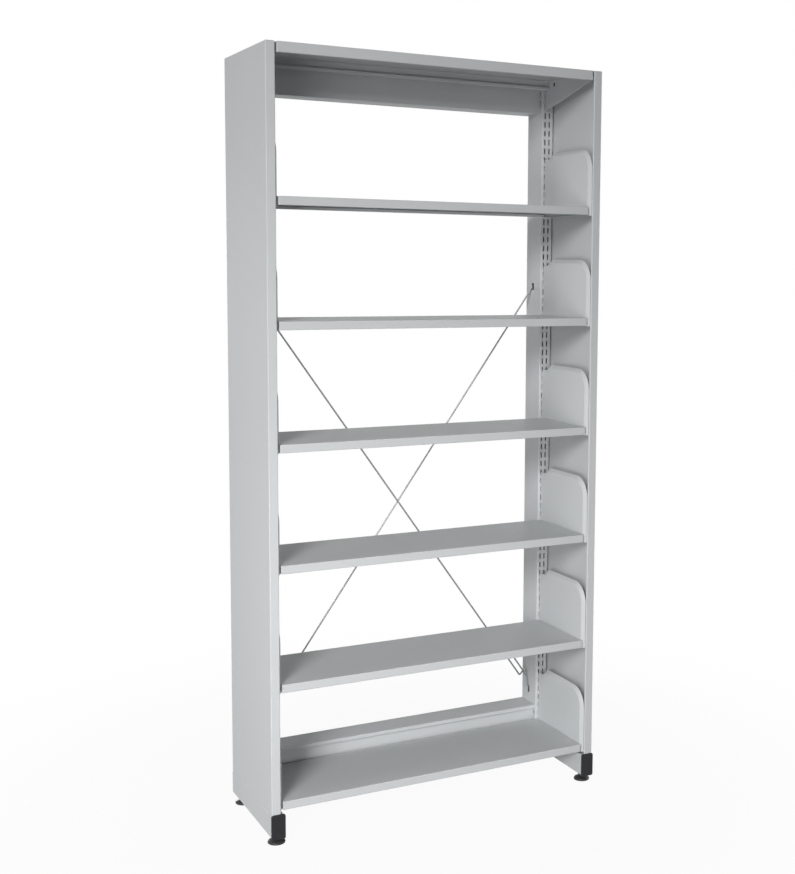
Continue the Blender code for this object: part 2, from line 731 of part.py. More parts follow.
def bracket_mesh():
    """A hooked end plate with a slanted rim along its top and front and a ledge for the shelf."""
    bm = bmesh.new()
    path = bracket_rim_path()
    tip = (BRACKET_IN + BRACKET_RIM_OUT, BRACKET_RIM_RISE)
    rim = rounded([(BRACKET_IN, 0), (BRACKET_IN, BRACKET_RIM_START), tip], BRACKET_RIM_BEND, BEND_STEPS)
    section = sheet(rim, -BRACKET_SHEET)
    inner = rim_rows(bm, path, section[:len(rim)])
    outer = rim_rows(bm, path, section[:len(rim) - 1:-1])
    for rows in (inner, outer):
        for row, after in zip(rows, rows[1:]):
            for step in range(len(row) - 1):
                bm.faces.new((row[step], row[step + 1], after[step + 1], after[step]))
    for index in range(len(path) - 1):
        edge = (inner[index][-1], inner[index + 1][-1], outer[index + 1][-1], outer[index][-1])
        bm.faces.new(edge)
    for index in (0, -1):
        bm.faces.new(inner[index] + outer[index][::-1])

    edge = bracket_plate_edge(path[-1])
    inner_edge = [bm.verts.new((BRACKET_IN, y, z)) for y, z in edge]
    outer_edge = [bm.verts.new((BRACKET_OUT, y, z)) for y, z in edge]
    inner_run = [inner[0][0]] + inner_edge + [inner[-1][0]]
    outer_run = [outer[0][0]] + outer_edge + [outer[-1][0]]
    for index in range(len(inner_run) - 1):
        side = (inner_run[index], inner_run[index + 1], outer_run[index + 1], outer_run[index])
        bm.faces.new(side)
    bm.faces.new([row[0] for row in outer[::-1]] + outer_edge)

    low_rear, low_front = inner_edge[-4:-2]
    ledge = [(BRACKET_IN, vert.co.y) for vert in (low_rear, low_front)]
    top_rear, top_front = [bm.verts.new((x, y, BRACKET_LOW + BRACKET_SHEET)) for x, y in ledge]
    seat = [low_rear, low_front, top_front, top_rear]
    tips = [bm.verts.new(vert.co - Vector((BRACKET_LEDGE, 0, 0))) for vert in seat]
    bm.faces.new(tips)
    for index in range(len(seat)):
        bm.faces.new((seat[index - 1], seat[index], tips[index], tips[index - 1]))
    notched = inner_edge[:-3] + [top_rear, top_front] + inner_edge[-3:]
    bm.faces.new([row[0] for row in inner[::-1]] + notched)
    return mesh_of(bm)


def make_shelves():
    """Shelves from the top one down, each on its left and right bracket."""
    shelf = shelf_mesh()
    right = bracket_mesh()
    left = mirrored(right)
    for number in range(1, SHELF_COUNT + 1):
        top = SHELF_LOW + (SHELF_COUNT - number) * SHELF_PITCH
        node(f"shelf_{number}", shelf, "grey_paint", (0, 0, top))
        node(f"bracket_right_{number}", right, "grey_paint", (0, 0, top))
        node(f"bracket_left_{number}", left, "grey_paint", (0, 0, top))


def canopy_screw_place():
    """Where a canopy screw goes through its gusset: its y and z."""
    return BRACKET_REAR - CANOPY_SCREW_BACK, GUSSET_TOP - CANOPY_SCREW_DROP


def canopy_screw_hole():
    """A cutter for the screw hole through a gusset and the canopy's folded end."""
    hole = CANOPY_SCREW_RADIUS + GAP
    rings = ((hole, BRACKET_IN - BRACKET_SHEET), (hole, CANOPY_HALF + CANOPY_SHEET))
    return turned(rings, SCREW_SIDES, canopy_screw_place(), along_x)


def make_canopy():
    """The top cover: a lipped sheet with a gutter-like hem at the back and folded ends."""
    lip_low = HEIGHT - CANOPY_LIP
    top = HEIGHT - CANOPY_SHEET / 2
    path = [(CANOPY_BACK, HEIGHT), (PANEL_FRONT, HEIGHT), (PANEL_FRONT, lip_low)]
    cover = sheet(rounded(path, CANOPY_BEND, BEND_STEPS), CANOPY_SHEET)
    cover = prism(cover, along_x, -CANOPY_HALF, CANOPY_HALF)
    rear_low = HEIGHT - CANOPY_REAR_LIP
    rear_hem = [
        (CANOPY_BACK - CANOPY_RETURN, rear_low + CANOPY_UPTURN),
        (CANOPY_BACK - CANOPY_RETURN, rear_low),
        (CANOPY_BACK, rear_low),
        (CANOPY_BACK, top),
    ]
    front = PANEL_FRONT + CANOPY_SHEET / 2
    front_hem = [
        (front, lip_low),
        (PANEL_FRONT + CANOPY_RETURN, lip_low),
        (PANEL_FRONT + CANOPY_RETURN, lip_low + CANOPY_UPTURN),
    ]
    pieces = []
    for hem in (rear_hem, front_hem):
        outline = sheet(rounded(hem, CANOPY_BEND, BEND_STEPS), CANOPY_SHEET)
        pieces.append(prism(outline, along_x, -SHELF_HALF, SHELF_HALF))
    end_back = CANOPY_BACK - CANOPY_BEND
    end = rounded([(end_back, top), (front, top), (front, lip_low)], CANOPY_BEND, BEND_STEPS)
    end.append((end_back, lip_low))
    for side in (-1, 1):
        inner = side * (CANOPY_HALF - CANOPY_SHEET)
        pieces.append(prism(end, along_x, inner, side * CANOPY_HALF))
    cover = boolean(cover, joined(pieces), "UNION")
    hole = canopy_screw_hole()
    cover = boolean(cover, joined([hole, mirrored(hole)]), "DIFFERENCE")
    node("canopy", cover, "grey_paint")


def make_gussets():
    """Hooked triangular plates that carry the canopy, with the screw that holds each end."""
    front = PANEL_FRONT + CANOPY_SHEET + GUSSET_FRONT_GAP
    rear = []
    seats = [index for index in range(SLOT_COUNT) if slot_z(index) - SLOT_HEIGHT / 2 > GUSSET_LOW]
    for index in seats[:GUSSET_HOOK_COUNT]:
        rear = hook(slot_z(index), BRACKET_REAR, POST_FRONT) + rear
    outline = [
        (front, HEIGHT - CANOPY_LIP),
        (front, GUSSET_TOP),
        (BRACKET_REAR, GUSSET_TOP),
        *rear,
        (BRACKET_REAR, GUSSET_LOW),
    ]
    plate = prism(outline, along_x, BRACKET_IN, BRACKET_OUT)
    pair("canopy_gusset_{}", boolean(plate, canopy_screw_hole(), "DIFFERENCE"), "grey_paint")
    make_canopy_screws()


def make_canopy_screws():
    """Screws through the gussets and the canopy's folded ends into nuts behind them."""
    place = canopy_screw_place()
    nut_low = CANOPY_HALF + GAP
    nut_high = nut_low + CANOPY_NUT_LENGTH
    seat = BRACKET_IN - GAP
    rings = (
        (CANOPY_SCREW_HEAD_RADIUS * 2 / 3, seat - CANOPY_SCREW_HEAD),
        (CANOPY_SCREW_HEAD_RADIUS, seat - CANOPY_SCREW_HEAD / 2),
        (CANOPY_SCREW_HEAD_RADIUS, seat),
        (CANOPY_SCREW_RADIUS, seat),
        (CANOPY_SCREW_RADIUS, nut_high),
    )
    screw = turned(rings, SCREW_SIDES, place, along_x)
    pair("canopy_screw_{}", screw, "zinc_screw")
    bore = CANOPY_SCREW_RADIUS + GAP
    shell = bore + CANOPY_NUT_WALL
    loops = ((shell, nut_low), (shell, nut_high), (bore, nut_high), (bore, nut_low))
    sections = []
    for radius, w in loops:
        ring = circle(radius, SCREW_SIDES)
        sections.append([along_x(place[0] + u, place[1] + v, w) for u, v in ring])
    pair("canopy_nut_{}", loft(sections, loop=True), "zinc_screw")


def make_rail(name, top):
    """A folded back rail whose hooked ends sit in the posts' inner sides."""
    low = top - RAIL_HEIGHT
    under_lip = top - RAIL_LIP
    path = [
        (POST_BACK, top - RAIL_BACK_LIP),
        (POST_BACK, top),
        (RAIL_FRONT, top),
        (RAIL_FRONT, under_lip),
        (RAIL_WEB, under_lip),
        (RAIL_WEB, low),
        (POST_BACK, low),
        (POST_BACK, low + RAIL_BACK_LIP),
    ]
    outline = sheet(rounded(path, RAIL_BEND, BEND_STEPS), RAIL_SHEET)
    rail = prism(outline, along_x, -RAIL_HALF, RAIL_HALF)
    edge = POST_IN - 2 * HOOK_NECK
    hooks = []
    for z in rail_hook_heights(top):
        plate = prism(hook(z, edge, POST_IN), along_y, RAIL_WEB, RAIL_WEB + RAIL_SHEET)
        hooks += [plate, mirrored(plate)]
    node(name, boolean(rail, joined(hooks), "UNION"), "grey_paint")


def eye(centre, axis, toward, start):
    """Path of a wire that leaves a start point and loops round a neighbour's axis."""
    radius = 2 * ROD_RADIUS + EYE_CLEARANCE
    across = axis.cross(toward)
    span = (centre - start).length
    first = math.pi + math.acos(radius / span)
    points = []
    for step in range(EYE_STEPS + 1):
        angle = first + math.radians(EYE_SWEEP) * step / EYE_STEPS
        points.append(centre + (toward * math.cos(angle) + across * math.sin(angle)) * radius)
    return points


def brace_meshes(y):
    """A rod from the upper left slot and the link that ties it to the lower right slot."""
    hook_x = POST_IN + POST_WALL + GAP + ROD_BEND
    out_x = POST_IN - ROD_STANDOFF
    high = BRACE_SLOT_TOP - BRACE_SLOT_HEIGHT + GAP + ROD_RADIUS
    low = BRACE_SLOT_LOW + BRACE_SLOT_HEIGHT - GAP - ROD_RADIUS
    anchor = Vector((out_x, y, low))
    start = Vector((-out_x, y, high))
    down = (anchor - start).normalized()
    toward = Vector((-down.z, 0, down.x))

    rod_end = anchor - down * ROD_END
    turn_end = rod_end + toward * (LINK_OFFSET / 4)
    rod = [(-hook_x, y, high - ROD_HOOK), (-hook_x, y, high), start, rod_end, turn_end]
    rod = rounded(rod, ROD_BEND, BEND_STEPS)[:-1]
    rod += eye(rod_end + toward * LINK_OFFSET, down, toward, turn_end)

    join = anchor - down * LINK_JOIN + toward * LINK_OFFSET
    link_end = join - down * LINK_LENGTH
    turn_end = link_end - toward * (LINK_OFFSET / 4)
    link = [(hook_x, y, low + ROD_HOOK), (hook_x, y, low), anchor, join, link_end, turn_end]
    link = rounded(link, ROD_BEND, BEND_STEPS)[:-1]
    link += eye(link_end - toward * LINK_OFFSET, -down, -toward, turn_end)
    return swept(rod, ROD_RADIUS, ROD_SIDES), swept(link, ROD_RADIUS, ROD_SIDES)


def make_brace():
    """Two crossed rods behind the shelves, one just in front of the other."""
    rod, link = brace_meshes(BRACE_Y - ROD_SPACING / 2)
    node("brace_rod_front", rod, "zinc_wire")
    node("brace_link_front", link, "zinc_wire")
    rod, link = brace_meshes(BRACE_Y + ROD_SPACING / 2)
    node("brace_rod_rear", mirrored(rod), "zinc_wire")
    node("brace_link_rear", mirrored(link), "zinc_wire")


def make_rack():
    clear_scene()
    make_end_panels()
    make_panel_screws()
    make_posts()
    make_legs()
    make_feet()
    make_rail("top_rail", TOP_RAIL_TOP)
    make_rail("bottom_rail", BOTTOM_RAIL_TOP)
    make_canopy()
    make_gussets()
    make_shelves()
    make_brace()


make_rack()
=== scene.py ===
"""Looks of the single-sided library rack: folded sheet, slotted posts, plastic caps and wire braces.

Metres, in the frame of the CAD model. Right-hand pieces are modelled at +X and mirrored for the left.
"""

import math

import bmesh
import bpy
from mathutils import Matrix, Vector


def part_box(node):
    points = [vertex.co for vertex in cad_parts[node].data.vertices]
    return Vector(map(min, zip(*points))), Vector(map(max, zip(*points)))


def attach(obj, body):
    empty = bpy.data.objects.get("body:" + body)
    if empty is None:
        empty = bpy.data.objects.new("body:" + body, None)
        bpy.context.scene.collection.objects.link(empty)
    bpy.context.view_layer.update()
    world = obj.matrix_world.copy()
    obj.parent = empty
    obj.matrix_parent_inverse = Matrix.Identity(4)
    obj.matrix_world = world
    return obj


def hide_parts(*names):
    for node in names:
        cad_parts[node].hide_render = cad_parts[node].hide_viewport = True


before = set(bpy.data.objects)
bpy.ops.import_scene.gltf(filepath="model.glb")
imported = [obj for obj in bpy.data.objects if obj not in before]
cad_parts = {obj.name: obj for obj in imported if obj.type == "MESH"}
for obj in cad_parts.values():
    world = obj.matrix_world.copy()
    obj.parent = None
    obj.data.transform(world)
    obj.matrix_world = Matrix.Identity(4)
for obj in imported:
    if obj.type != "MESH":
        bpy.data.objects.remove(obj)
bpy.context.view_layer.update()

X, Y, Z = range(3)
TOUCH = 1e-5
GAP = 0.0003
SHELVES = range(1, 7)
SIDES = ("left", "right")
FEET = ("front_left", "front_right", "rear_left", "rear_right")

# Sheet thicknesses, bends and flanges
PANEL_SHEET = 0.0012
PANEL_BEND = 0.0022
PANEL_HEM = 0.0045
HEM_SNIP = 0.0040
SHELF_SHEET = 0.0010
SHELF_BEND = 0.0018
SHELF_RETURN = 0.0120
SHELF_UPTURN = 0.0070
SHELF_HEM_INSET = 0.0040
CANOPY_SHEET = 0.0010
CANOPY_BEND = 0.0018
CANOPY_LIP = 0.0260
CANOPY_RETURN = 0.0110
CANOPY_UPTURN = 0.0080
RAIL_SHEET = 0.0015
RAIL_BEND = 0.0020
RAIL_LIP = 0.0110
RAIL_WEB_SETBACK = 0.0110
RAIL_BACK_LIP = 0.0120
EDGE_SOFTNESS = 0.22

# Roundness: steps of bends and edges, and the angles in degrees that count as bend, edge or crease
BEND_STEPS = 5
EDGE_STEPS = 2
RIM_STEPS = 4
BEND_ANGLE = 25
SHARP_ANGLE = 50
SMOOTH_ANGLE = 32

# Posts, legs and their slots
POST_WALL = 0.0016
POST_CORNER = 0.0030
SLOT_PITCH = 0.0254
SLOT_HEIGHT = 0.0160
SLOT_WIDTH = 0.0042
SLOT_CORNER = 0.0005
SLOT_START = 0.0196
SLOT_COUNT = 75
SLOT_COLUMNS = 2
SLOT_COLUMN_INSET = 0.0098
SLOT_COLUMN_SPACING = 0.0136
RAIL_SLOT_WIDTH = 0.0075
RAIL_HOOK_DROP = 0.0310
RAIL_HOOK_COUNT = 2
BRACE_DEPTH = 0.0449
BRACE_SLOT_WIDTH = 0.0120
BRACE_SLOT_HEIGHT = 0.0200
BRACE_SLOT_LOWS = (0.1790, 1.3995)
LEG_WALL = 0.0020
LEG_CORNER = 0.0030

# Hooks, brackets and gussets
PLATE = 0.0015
HOOK_NECK = 0.0108
HOOK_DROP = 0.0040
HOOK_TIP = 0.0035
HOOK_BACK_GAP = 0.0005
BRACKET_RIM = 0.0100
BRACKET_RIM_OUT = 0.0085
BRACKET_RIM_BEND = 0.0030
BRACKET_RIM_ANGLE = 15
BRACKET_CORNER = 0.0560
BRACKET_CORNER_STEPS = 12
BRACKET_SHOULDER_DROP = 0.0170
BRACKET_SHOULDER_RUN = 0.0280
BRACKET_SHOULDER_SLOPE = 0.0100
BRACKET_LEDGE = 0.0120
BRACKET_LEDGE_FRONT = 0.0300
BRACKET_LEDGE_INSET = 0.0060
BRACKET_HOOK_SLOTS = (0, 1, 3, 4)
BRACKET_SLOT_RISE = 0.0156
GUSSET_HOOKS = 2

# Plastic caps, plugs and feet
CAP_CORNER = 0.0050
CAP_EDGE = 0.0016
CAP_OVERHANG = 0.0022
PLUG_EDGE = 0.0005
FOOT_SIDES = 64
FOOT_RIM = 0.00375
FOOT_SOFTNESS = FOOT_RIM / 3
FOOT_SOFT_ANGLE = 20
FOOT_SHOULDER = 0.0025
FOOT_SLOPE = 0.0050
FOOT_HUB_RADIUS = 0.0095
FOOT_SOCKET_FLOOR = 0.0060
THREAD_PITCH = 0.0015
THREAD_DEPTH = 0.0007
THREAD_FLANK = THREAD_PITCH * 0.4
THREAD_FLAT = THREAD_PITCH * 0.1
THREAD_SIDES = 20

# Screws, with shares of the head's height and radius, and brace wires
PANEL_SCREW = {"head_radius": 0.0045, "head": 0.0018, "shank_radius": 0.0020, "length": 0.0078}
CANOPY_SCREW = {"head_radius": 0.0050, "head": 0.0025, "shank_radius": 0.0027, "length": 0.0074}
SCREW_SIDES = 40
SCREW_HEAD_SIDE = 0.45
SCREW_HEAD_DOME = ((0.30, 0.90), (0.17, 0.74), (0.08, 0.50))
RECESS_LENGTH = 0.55
RECESS_WIDTH = 0.13
RECESS_FLOOR = 0.35
RECESS_TOP = 2
ROD_RADIUS = 0.0025
ROD_RESOLUTION = 3
ROD_SPACING = 0.0058
ROD_BEND = 0.0040
ROD_HOOK = 0.0160
ROD_STANDOFF = 0.0040
LINK_OFFSET = 0.0165
LINK_JOIN = 0.0350
LINK_LENGTH = 0.1000
ROD_END = 0.0500
EYE_CLEARANCE = 0.0006
EYE_LEAD = LINK_OFFSET / 4
EYE_SWEEP = 258.0
EYE_STEPS = 24

# Finishes: pairs of linear shades, noises with scales per metre, bumps with depths in metres
PAINT = {
    "shades": ((0.580, 0.598, 0.606), (0.634, 0.650, 0.656)),
    "clouds": {"scale": 4.0, "detail": 3.0},
    "specks": {"scale": 1900.0, "detail": 1.0},
    "peel": {"scale": 520.0, "detail": 2.0, "roughness": 0.6},
    "cloud_share": 0.7,
    "speck_share": 0.3,
    "specular": 0.14,
    "dullness": 0.38,
    "cloud_dullness": 0.08,
    "peel_dullness": 0.05,
    "bump": {"strength": 0.10, "depth": 0.0004},
}
PLASTIC = {
    "shades": ((0.012, 0.012, 0.014), (0.052, 0.052, 0.055)),
    "grain": {"scale": 1400.0, "detail": 3.0, "roughness": 0.6},
    "scuffs": {"scale": 90.0, "detail": 4.0, "roughness": 0.7},
    "scuff_share": 0.35,
    # Lighter towards the floor: dust and a painted reflection of the floor on the feet's lower rims
    "dust_and_sheen_heights": (0.0, 0.014),
    "dust_and_sheen_shares": (0.75, 0.0),
    "specular": 0.25,
    "dullness": 0.30,
    "scuff_dullness": 0.22,
    "bump": {"strength": 0.25, "depth": 0.0002},
}
WIRE = {
    "shades": ((0.31, 0.315, 0.32), (0.47, 0.475, 0.48)),
    "patches": {"scale": 60.0, "detail": 3.0, "roughness": 0.6},
    "grain": {"scale": 2600.0, "detail": 2.0},
    "dullness": 0.48,
    "patch_dullness": 0.16,
    "bump": {"strength": 0.12, "depth": 0.0001},
}
ZINC = {
    "shades": ((0.30, 0.29, 0.27), (0.48, 0.47, 0.44)),
    "blotches": {"scale": 240.0, "detail": 3.0, "roughness": 0.6},
    "grain": {"scale": 3000.0, "detail": 1.0},
    "dullness": 0.28,
    "blotch_dullness": 0.20,
    "bump": {"strength": 0.10, "depth": 0.0001},
}
# The bolt's first shade is painted shade, a dark ring round the head's rim; the second is its lighter
# middle
BOLT = {
    "shades": ((0.022, 0.021, 0.020), (0.70, 0.68, 0.60)),
    "blotches": {"scale": 700.0, "detail": 3.0, "roughness": 0.6},
    "metallic": 0.3,
    "shade_ring_radii": (0.0030, 0.0037),
    "middle_shares": (1.0, 0.0),
    "middle_least": 0.7,
    "middle_blotches": 0.3,
    "dullness": 0.34,
    "blotch_dullness": 0.16,
}

# Places of a Mix node's colours among its sockets
MIX_FIRST = 6
MIX_SECOND = 7
MIX_COLOUR = 2


class Tone:
    """A socket of a node tree, with arithmetic that adds Math nodes."""

    def __init__(self, tree, socket=None):
        self.tree = tree
        self.socket = socket

    def add(self, kind, settings=None, inputs=None, output=0):
        """Adds a node: its settings first, then the values or links of its sockets."""
        node = self.tree.nodes.new(kind)
        for key, value in (settings or {}).items():
            setattr(node, key, value)
        for key, value in (inputs or {}).items():
            if isinstance(value, Tone):
                self.tree.links.new(value.socket, node.inputs[key])
            else:
                node.inputs[key].default_value = value
        return Tone(self.tree, node.outputs[output])

    def math(self, operation, first, second):
        return self.add("ShaderNodeMath", {"operation": operation}, {0: first, 1: second})

    def __add__(self, other):
        return self.math("ADD", self, other)

    __radd__ = __add__

    def __mul__(self, other):
        return self.math("MULTIPLY", self, other)

    __rmul__ = __mul__


def new_finish(name, metallic=0.0):
    """A material, its shader and the place on a piece, from which its nodes start."""
    finish = bpy.data.materials.new(name)
    finish.use_nodes = True
    shader = finish.node_tree.nodes["Principled BSDF"]
    shader.inputs["Metallic"].default_value = metallic
    place = Tone(finish.node_tree).add("ShaderNodeTexCoord", output="Object")
    return finish, shader, place


def noise(place, scale, detail, roughness=0.5):
    """Noise over a piece, from 0 to 1."""
    inputs = {"Vector": place, "Scale": scale, "Detail": detail, "Roughness": roughness}
    return place.add("ShaderNodeTexNoise", {}, inputs)


def between(share, shades):
    """A colour that goes from the first to the second of two shades."""
    first, second = shades
    inputs = {0: share, MIX_FIRST: (*first, 1.0), MIX_SECOND: (*second, 1.0)}
    return share.add("ShaderNodeMix", {"data_type": "RGBA"}, inputs, output=MIX_COLOUR)


def fade(value, bounds, shares, **settings):
    """A share that goes from one level to another while a value crosses its bounds."""
    inputs = {"Value": value, "From Min": bounds[0], "From Max": bounds[1],
              "To Min": shares[0], "To Max": shares[1]}
    return value.add("ShaderNodeMapRange", settings, inputs)


def length_of(place):
    """How far a place lies from the origin."""
    return place.add("ShaderNodeVectorMath", {"operation": "LENGTH"}, {0: place}, output="Value")


def bump(height, strength, depth):
    """The tilt that a fine relief gives a surface."""
    return height.add("ShaderNodeBump", {}, {"Strength": strength, "Distance": depth, "Height": height})


def dress(shader, **tones):
    """Links tones to the shader's sockets."""
    for name, tone in tones.items():
        tone.tree.links.new(tone.socket, shader.inputs[name.replace("_", " ")])


def grey_powder_coat():
    """Satin light grey powder coat with faint clouds, fine specks and orange peel."""
    finish, shader, place = new_finish("grey_powder_coat")
    clouds = noise(place, **PAINT["clouds"])
    specks = noise(place, **PAINT["specks"])
    peel = noise(place, **PAINT["peel"])
    colour = between(clouds * PAINT["cloud_share"] + specks * PAINT["speck_share"], PAINT["shades"])
    dullness = PAINT["dullness"] + clouds * PAINT["cloud_dullness"] + peel * PAINT["peel_dullness"]
    shader.inputs["Specular IOR Level"].default_value = PAINT["specular"]
    dress(shader, Base_Color=colour, Roughness=dullness, Normal=bump(peel, **PAINT["bump"]))
    return finish


def black_moulded_plastic():
    """Black moulded plastic with a fine grain and light scuffs, lighter near the floor with dust and a
    painted reflection of the floor.
    """
    finish, shader, place = new_finish("black_moulded_plastic")
    grain = noise(place, **PLASTIC["grain"])
    scuffs = noise(place, **PLASTIC["scuffs"])
    height = place.add("ShaderNodeSeparateXYZ", {}, {0: place}, output="Z")
    # Dust and painted floor reflection: lighter towards the bottom
    dust_and_floor_sheen = fade(height, PLASTIC["dust_and_sheen_heights"], PLASTIC["dust_and_sheen_shares"])
    colour = between(scuffs * PLASTIC["scuff_share"] + dust_and_floor_sheen, PLASTIC["shades"])
    dullness = PLASTIC["dullness"] + scuffs * PLASTIC["scuff_dullness"]
    shader.inputs["Specular IOR Level"].default_value = PLASTIC["specular"]
    dress(shader, Base_Color=colour, Roughness=dullness, Normal=bump(grain, **PLASTIC["bump"]))
    return finish


def bright_zinc_wire():
    """Zinc-coated wire with a fine grain and lighter patches."""
    finish, shader, place = new_finish("bright_zinc_wire", 1.0)
    patches = noise(place, **WIRE["patches"])
    grain = noise(place, **WIRE["grain"])
    colour = between(patches, WIRE["shades"])
    dullness = WIRE["dullness"] + patches * WIRE["patch_dullness"]
    dress(shader, Base_Color=colour, Roughness=dullness, Normal=bump(grain, **WIRE["bump"]))
    return finish


def zinc_plated_steel():
    """Zinc plating with a blotchy sheen, for screws, nuts and stems."""
    finish, shader, place = new_finish("zinc_plated_steel", 1.0)
    blotches = noise(place, **ZINC["blotches"])
    grain = noise(place, **ZINC["grain"])
    colour = between(blotches, ZINC["shades"])
    dullness = ZINC["dullness"] + blotches * ZINC["blotch_dullness"]
    dress(shader, Base_Color=colour, Roughness=dullness, Normal=bump(grain, **ZINC["bump"]))
    return finish


def shade_ringed_bolt(axis_y, axis_z):
    """Steel for a round head on an axis along X, with a painted shade ring round its rim and a lighter
    middle.
    """
    finish, shader, place = new_finish("shade_ringed_bolt", BOLT["metallic"])
    centred = {"Vector": place, "Location": (0, -axis_y, -axis_z), "Scale": (0, 1, 1)}
    reach = length_of(place.add("ShaderNodeMapping", {}, centred))
    # Painted shade: 1 in the lighter middle, falling to 0 in the dark ring painted round the rim
    unshaded_middle = fade(reach, BOLT["shade_ring_radii"], BOLT["middle_shares"])
    blotches = noise(place, **BOLT["blotches"])
    colour = between(unshaded_middle * (BOLT["middle_least"] + blotches * BOLT["middle_blotches"]), BOLT["shades"])
    dullness = BOLT["dullness"] + blotches * BOLT["blotch_dullness"]
    dress(shader, Base_Color=colour, Roughness=dullness)
    return finish


FINISHES = {
    "grey_paint": grey_powder_coat(),
    "black_plastic": black_moulded_plastic(),
    "zinc_wire": bright_zinc_wire(),
    "zinc_screw": zinc_plated_steel(),
}


def near(first, second):
    return abs(first - second) < TOUCH


def lies_at(element, axis, place):
    """True where every corner of an edge or face has this place along an axis."""
    return all(near(vert.co[axis], place) for vert in element.verts)


def runs_along(edge, axis):
    """True for an edge that follows an axis."""
    span = edge.verts[1].co - edge.verts[0].co
    return near(abs(span[axis]), span.length)


def work_on(piece):
    """Makes a piece the only selected object, in object mode."""
    if bpy.context.mode != "OBJECT":
        bpy.ops.object.mode_set(mode="OBJECT")
    bpy.ops.object.select_all(action="DESELECT")
    if piece:
        piece.select_set(True)
        bpy.context.view_layer.objects.active = piece


def edit(piece):
    work_on(piece)
    bpy.ops.object.mode_set(mode="EDIT")


def named(name):
    """Names the object at hand and puts its place and size into its mesh."""
    piece = bpy.context.object
    piece.name = name
    piece.data.name = name
    bpy.ops.object.transform_apply(location=True, rotation=True, scale=True)
    return piece


def begin_block(name, low, high):
    """A block between two corners."""
    work_on(None)
    low, high = Vector(low), Vector(high)
    bpy.ops.mesh.primitive_cube_add(size=1, location=(low + high) / 2, scale=high - low)
    return named(name)


def begin_flat_sheet(name, low, high):
    """A level sheet between two corners of one height."""
    work_on(None)
    low, high = Vector(low), Vector(high)
    bpy.ops.mesh.primitive_plane_add(size=1, location=(low + high) / 2)
    bpy.context.object.scale = (high.x - low.x, high.y - low.y, 1)
    return named(name)


def begin_side_sheet(name, low, high):
    """An upright sheet across the X axis, between two corners, that faces -X."""
    work_on(None)
    low, high = Vector(low), Vector(high)
    turn = (0, -math.pi / 2, 0)
    bpy.ops.mesh.primitive_plane_add(size=1, location=(low + high) / 2, rotation=turn)
    bpy.context.object.scale = (high.z - low.z, high.y - low.y, 1)
    return named(name)


def begin_point(name, place):
    """A single point, to be drawn out into a line."""
    work_on(None)
    bpy.ops.mesh.primitive_plane_add(size=1, location=place)
    point = named(name)
    edit(point)
    bpy.ops.mesh.select_mode(type="VERT")
    bpy.ops.mesh.select_all(action="SELECT")
    bpy.ops.mesh.merge(type="CENTER")
    return point


def begin_round(name, centre, radius, height, sides):
    """An upright round block that stands on its centre point."""
    work_on(None)
    middle = Vector(centre) + Vector((0, 0, height / 2))
    bpy.ops.mesh.primitive_cylinder_add(vertices=sides, radius=radius, depth=height, location=middle)
    return named(name)


def pick(kind, test):
    """Selects the vertices, edges or faces of the piece in edit mode that pass a test."""
    bpy.ops.mesh.select_mode(type=kind)
    bpy.ops.mesh.select_all(action="DESELECT")
    mesh = bpy.context.object.data
    shape = bmesh.from_edit_mesh(mesh)
    elements = {"VERT": shape.verts, "EDGE": shape.edges, "FACE": shape.faces}[kind]
    for element in elements:
        if test(element):
            element.select_set(True)
    shape.select_flush_mode()
    bmesh.update_edit_mesh(mesh)


def remove_faces(test):
    pick("FACE", test)
    bpy.ops.mesh.delete(type="FACE")


def fold_on(*moves):
    """Draws one flange after another on from the selected edges."""
    for move in moves:
        bpy.ops.mesh.extrude_edges_move(TRANSFORM_OT_translate={"value": move})


def draw_line(*moves):
    """Draws a line on from the selected point."""
    for move in moves:
        bpy.ops.mesh.extrude_vertices_move(TRANSFORM_OT_translate={"value": move})


def raise_face(rise, ratio, centre):
    """Draws the selected face upwards and shrinks or widens it about a centre."""
    bpy.ops.mesh.extrude_region_move(TRANSFORM_OT_translate={"value": (0, 0, rise)})
    bpy.ops.transform.resize(value=(ratio, ratio, 1), center_override=centre)


def score(axis, *places):
    """Divides the whole piece along planes across an axis."""
    normal = [float(other == axis) for other in range(3)]
    for place in places:
        bpy.ops.mesh.select_all(action="SELECT")
        bpy.ops.mesh.bisect(plane_co=[place * part for part in normal], plane_no=normal)


def round_edges(radius, test, steps=BEND_STEPS):
    """Rounds the edges that pass a test."""
    pick("EDGE", test)
    bpy.ops.mesh.bevel(offset=radius, segments=steps, affect="EDGES")


def modify(piece, kind, **settings):
    """Adds a modifier to a piece and applies it."""
    work_on(piece)
    step = piece.modifiers.new(kind.lower(), kind)
    for key, value in settings.items():
        setattr(step, key, value)
    bpy.ops.object.modifier_apply(modifier=step.name)


def soften(piece, width, sharper_than=SHARP_ANGLE, steps=EDGE_STEPS):
    """Rounds every edge that is sharper than an angle."""
    limit = math.radians(sharper_than)
    modify(piece, "BEVEL", width=width, segments=steps, limit_method="ANGLE", angle_limit=limit)


def bend_and_thicken(piece, bend, sheet):
    """Rounds a folded sheet's bends, gives it its thickness inwards and softens its cut edges."""
    soften(piece, bend, BEND_ANGLE, BEND_STEPS)
    modify(piece, "SOLIDIFY", thickness=sheet, offset=-1, use_even_offset=True)
    soften(piece, sheet * EDGE_SOFTNESS)


def join(pieces):
    """Puts several pieces into the first one's mesh."""
    work_on(pieces[0])
    for piece in pieces[1:]:
        piece.select_set(True)
    bpy.ops.object.join()
    return pieces[0]


def combine(piece, tools, operation):
    """Cuts tools out of a piece, or unites them with it."""
    tool = join(tools) if len(tools) > 1 else tools[0]
    modify(piece, "BOOLEAN", operation=operation, solver="EXACT", object=tool)
    bpy.data.objects.remove(tool)


